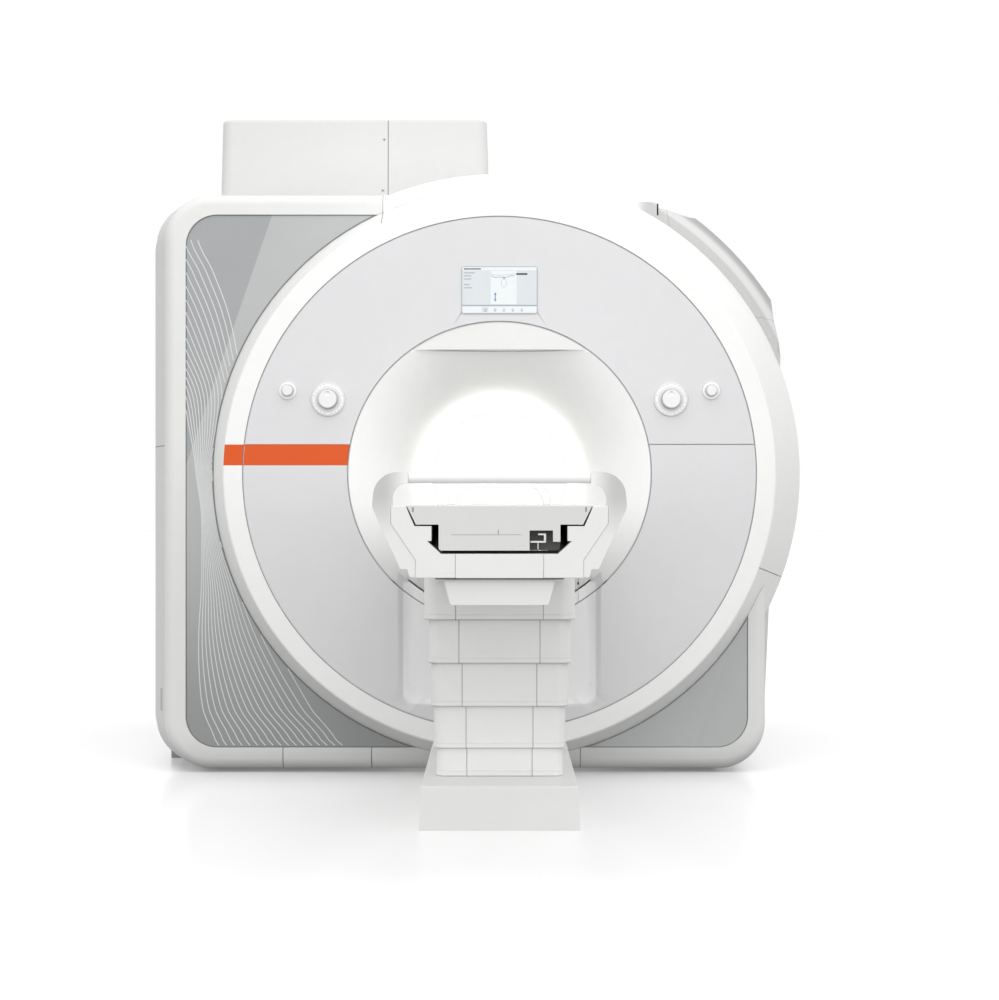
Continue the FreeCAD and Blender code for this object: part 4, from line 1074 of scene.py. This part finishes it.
# ---------------------------------------------------------------- studio
def lights():
    """Soft lamps above, in front, at both sides and in the bore."""

    def area(name, place, aim, size, power):
        data = bpy.data.lights.new(name, "AREA")
        data.shape = "RECTANGLE"
        data.size, data.size_y = size
        data.energy = power
        obj = bpy.data.objects.new(name, data)
        bpy.context.scene.collection.objects.link(obj)
        obj.location = place
        direction = Vector(aim) - Vector(place)
        obj.rotation_euler = direction.to_track_quat("-Z", "Y").to_euler()
        obj.visible_camera = False
        obj.visible_glossy = False

    area("top_key", (0.2, -3.4, 4.7), (0, -1.0, 1.3), (6, 3), 76)
    area("front_fill", (0.8, -10.5, 2.2), (0, -2.0, 0.9), (9, 3.5), 150)
    area("bore_light", (0.0, 0.75, 1.0), (0, -0.6, 1.15), (0.45, 0.3), 13)
    for side, word in ((-1, "left"), (1, "right")):
        area("side_fill_" + word, (side * 4.0, -6.0, 0.8), (0, -1.0, 0.6), (2.0, 0.9), 26)


def world():
    """White studio above and around, dimmer from below."""
    made = bpy.data.worlds.new("studio")
    made.use_nodes = True
    tree = made.node_tree
    background = tree.nodes["Background"]
    place = tree.nodes.new("ShaderNodeTexCoord")
    parts = tree.nodes.new("ShaderNodeSeparateXYZ")
    tree.links.new(place.outputs["Generated"], parts.inputs[0])
    fade = tree.nodes.new("ShaderNodeMapRange")
    fade.interpolation_type = "SMOOTHSTEP"
    limits = (("From Min", -0.35), ("From Max", -0.02), ("To Min", 0.25), ("To Max", 1.0))
    for key, number in limits:
        fade.inputs[key].default_value = number
    tree.links.new(parts.outputs["Z"], fade.inputs["Value"])
    tree.links.new(fade.outputs["Result"], background.inputs["Color"])
    background.inputs["Strength"].default_value = 1.0
    bpy.context.scene.world = made


FLOOR_REACH = 60.0
FLOOR_CORNERS = ((-1, -1), (1, -1), (1, 1), (-1, 1))


def floor():
    """Plain pale floor, slightly glossy; it throws no light back on the object."""
    made = Shade("studio_floor", (0.84, 0.84, 0.84), 0.16)
    made.shader.inputs["IOR"].default_value = 1.12
    made.shader.inputs["Emission Color"].default_value = (1.0, 1.0, 1.0, 1.0)
    made.shader.inputs["Emission Strength"].default_value = 0.14
    made.vary(0.6, 0.005)
    made.worn(2.0, 0.03)
    material = made.done()
    mesh = bpy.data.meshes.new("studio_floor")
    corners = [(x * FLOOR_REACH, y * FLOOR_REACH, 0) for x, y in FLOOR_CORNERS]
    mesh.from_pydata(corners, [], [[0, 1, 2, 3]])
    mesh.materials.append(material)
    obj = bpy.data.objects.new("studio_floor", mesh)
    bpy.context.scene.collection.objects.link(obj)
    obj.visible_diffuse = False


def camera():
    """The photographer's place, looking level along +Y."""
    data = bpy.data.cameras.new("view")
    data.lens = CAMERA_LENS
    data.sensor_width = SENSOR
    data.clip_end = 200.0
    obj = bpy.data.objects.new("view", data)
    bpy.context.scene.collection.objects.link(obj)
    obj.location = CAMERA_PLACE
    obj.rotation_euler = (math.pi / 2, 0, 0)
    bpy.context.scene.camera = obj


# ---------------------------------------------------------------- the whole scene
def finish_cad():
    """Materials and rounded edges of all the CAD nodes."""
    # covers of the magnet
    dress(["top_cover"], cover_white())
    dress(["flare_upper", "flare_lower"], flare_white())
    dress(["rim_left", "rim_bottom", "rim_right"], rim_white())
    dress(["corner_fairing"], fairing_white())
    dress(["rear_cover"], rear_white())
    dress(["front_ring"], ring_white())
    dress(["front_cover_upper", "front_cover_lower"], disk_grey())
    dress(["front_funnel", "rear_funnel"], funnel_white())
    # The bore's pale colour is set lighter, partly as painted light.
    dress(["bore_liner"], satin("bore_white", (0.92, 0.92, 0.905), 0.36).done(), NO_EDGE)
    dress(["panel_left", "panel_right"], decor_grey(), FINE_EDGE)
    dress(["side_cover_left_upper", "side_cover_left_lower", "side_cover_right"], side_grey())
    dress(["turret_cover_left", "turret_cover_right"], turret_white())
    dress(["base_plinth"], painted("plinth_paint", (0.30, 0.30, 0.31)))

    # display and controls
    dress(["display_bezel"], satin("bezel_grey", (0.42, 0.43, 0.44), 0.35).done(), SMALL_EDGE)
    dress(["display_screen"], screen_glass(), NO_EDGE)
    dress(["control_bezels"], bezel_white(), FINE_EDGE)
    controls = ["jog_knob_left", "jog_knob_right", "stop_button_left", "stop_button_right"]
    dress(controls, control_white(), SMALL_EDGE)

    # inside the covers
    dress(["vacuum_vessel", "helium_vessel"], vessel_steel(), NO_EDGE)
    shield = metal("shield_aluminium", (0.72, 0.72, 0.73), 0.25).done()
    dress(["thermal_shield"], shield, NO_EDGE)
    dress(["magnet_coils", "rf_body_coil"], coil_copper(), NO_EDGE)
    dress(["suspension_rods"], painted("rod_epoxy", (0.55, 0.42, 0.12), 0.35), NO_EDGE)
    dress(["gradient_coil"], painted("gradient_resin", (0.45, 0.33, 0.14), 0.4), NO_EDGE)
    dress(["magnet_feet"], painted("foot_iron", (0.05, 0.05, 0.055), 0.6, 0.3), NO_EDGE)
    service = metal("service_steel", (0.60, 0.61, 0.62), 0.3).done()
    dress(["cold_head", "quench_pipe"], service, NO_EDGE)
    bars = metal("frame_aluminium", (0.66, 0.66, 0.68), 0.4, (1, 1, 10)).done()
    dress(["cover_frame"], bars, NO_EDGE)
    dress(["bore_rails"], satin("rail_plastic", (0.76, 0.76, 0.75), 0.35).done())

    # table
    table = ["table_plinth", "end_cover", "end_centre_cover", "under_pan", "table_side_covers"]
    dress(table, satin("table_white", (0.76, 0.76, 0.748)).done())
    for index in range(len(COLUMN_SEAMS)):
        dress([f"column_cover_{index + 1}"], column_white(index), FINE_EDGE)
    mast = painted("mast_paint", (0.10, 0.10, 0.105), 0.45, 0.3)
    dress(["mast_outer", "mast_middle", "mast_inner"], mast, NO_EDGE)
    dress(["table_chassis"], chassis(), NO_EDGE)
    handle = handle_white()
    dress(["handle_bar"], handle)
    dress(["handle_arms"], handle, ARM_EDGE, 5)
    dress(["tabletop_drive"], rubber_black("soft_black"), NO_EDGE)
    dress(["tabletop"], tabletop_shell(), FINE_EDGE)
    dress(["head_arch"], arch_clear(), ARCH_EDGE)


def worn_by(name):
    """The material of a CAD node."""
    return frame["nodes"][name].data.materials[0]


def small_parts():
    """Pieces that the CAD part doesn't have."""
    decor_lines(plain("decor_line", (0.64, 0.65, 0.65)))
    kinds = [
        plain("screen_pale", (0.60, 0.66, 0.70)),
        plain("screen_white", (0.72, 0.755, 0.765), 0.03),
        plain("screen_grey", (0.35, 0.38, 0.42)),
        plain("screen_dark", (0.06, 0.07, 0.08)),
        plain("screen_blue", (0.10, 0.25, 0.45)),
        plain("screen_line", (0.16, 0.18, 0.20)),
        worn_by("display_screen"),
    ]
    screen_picture(kinds)
    knob_marks(plain("mark_grey", (0.50, 0.50, 0.51)))
    # Black for the sheets of painted shade at the end cover.
    dark = rubber_black("table_shade_black")
    table_fittings(worn_by("end_cover"), dark, plain("strap_grey", (0.32, 0.32, 0.32)))
    shoulder_web(worn_by("top_cover"))
    flare_gasket(painted("gasket_grey", (0.30, 0.30, 0.305)))
    head = plain("screw_white", (0.55, 0.55, 0.55))
    turret_screws(head, plain("screw_socket", (0.08, 0.08, 0.08)))


finish_cad()
small_parts()
world()
lights()
floor()
camera()
bpy.context.scene.view_settings.view_transform = "Standard"
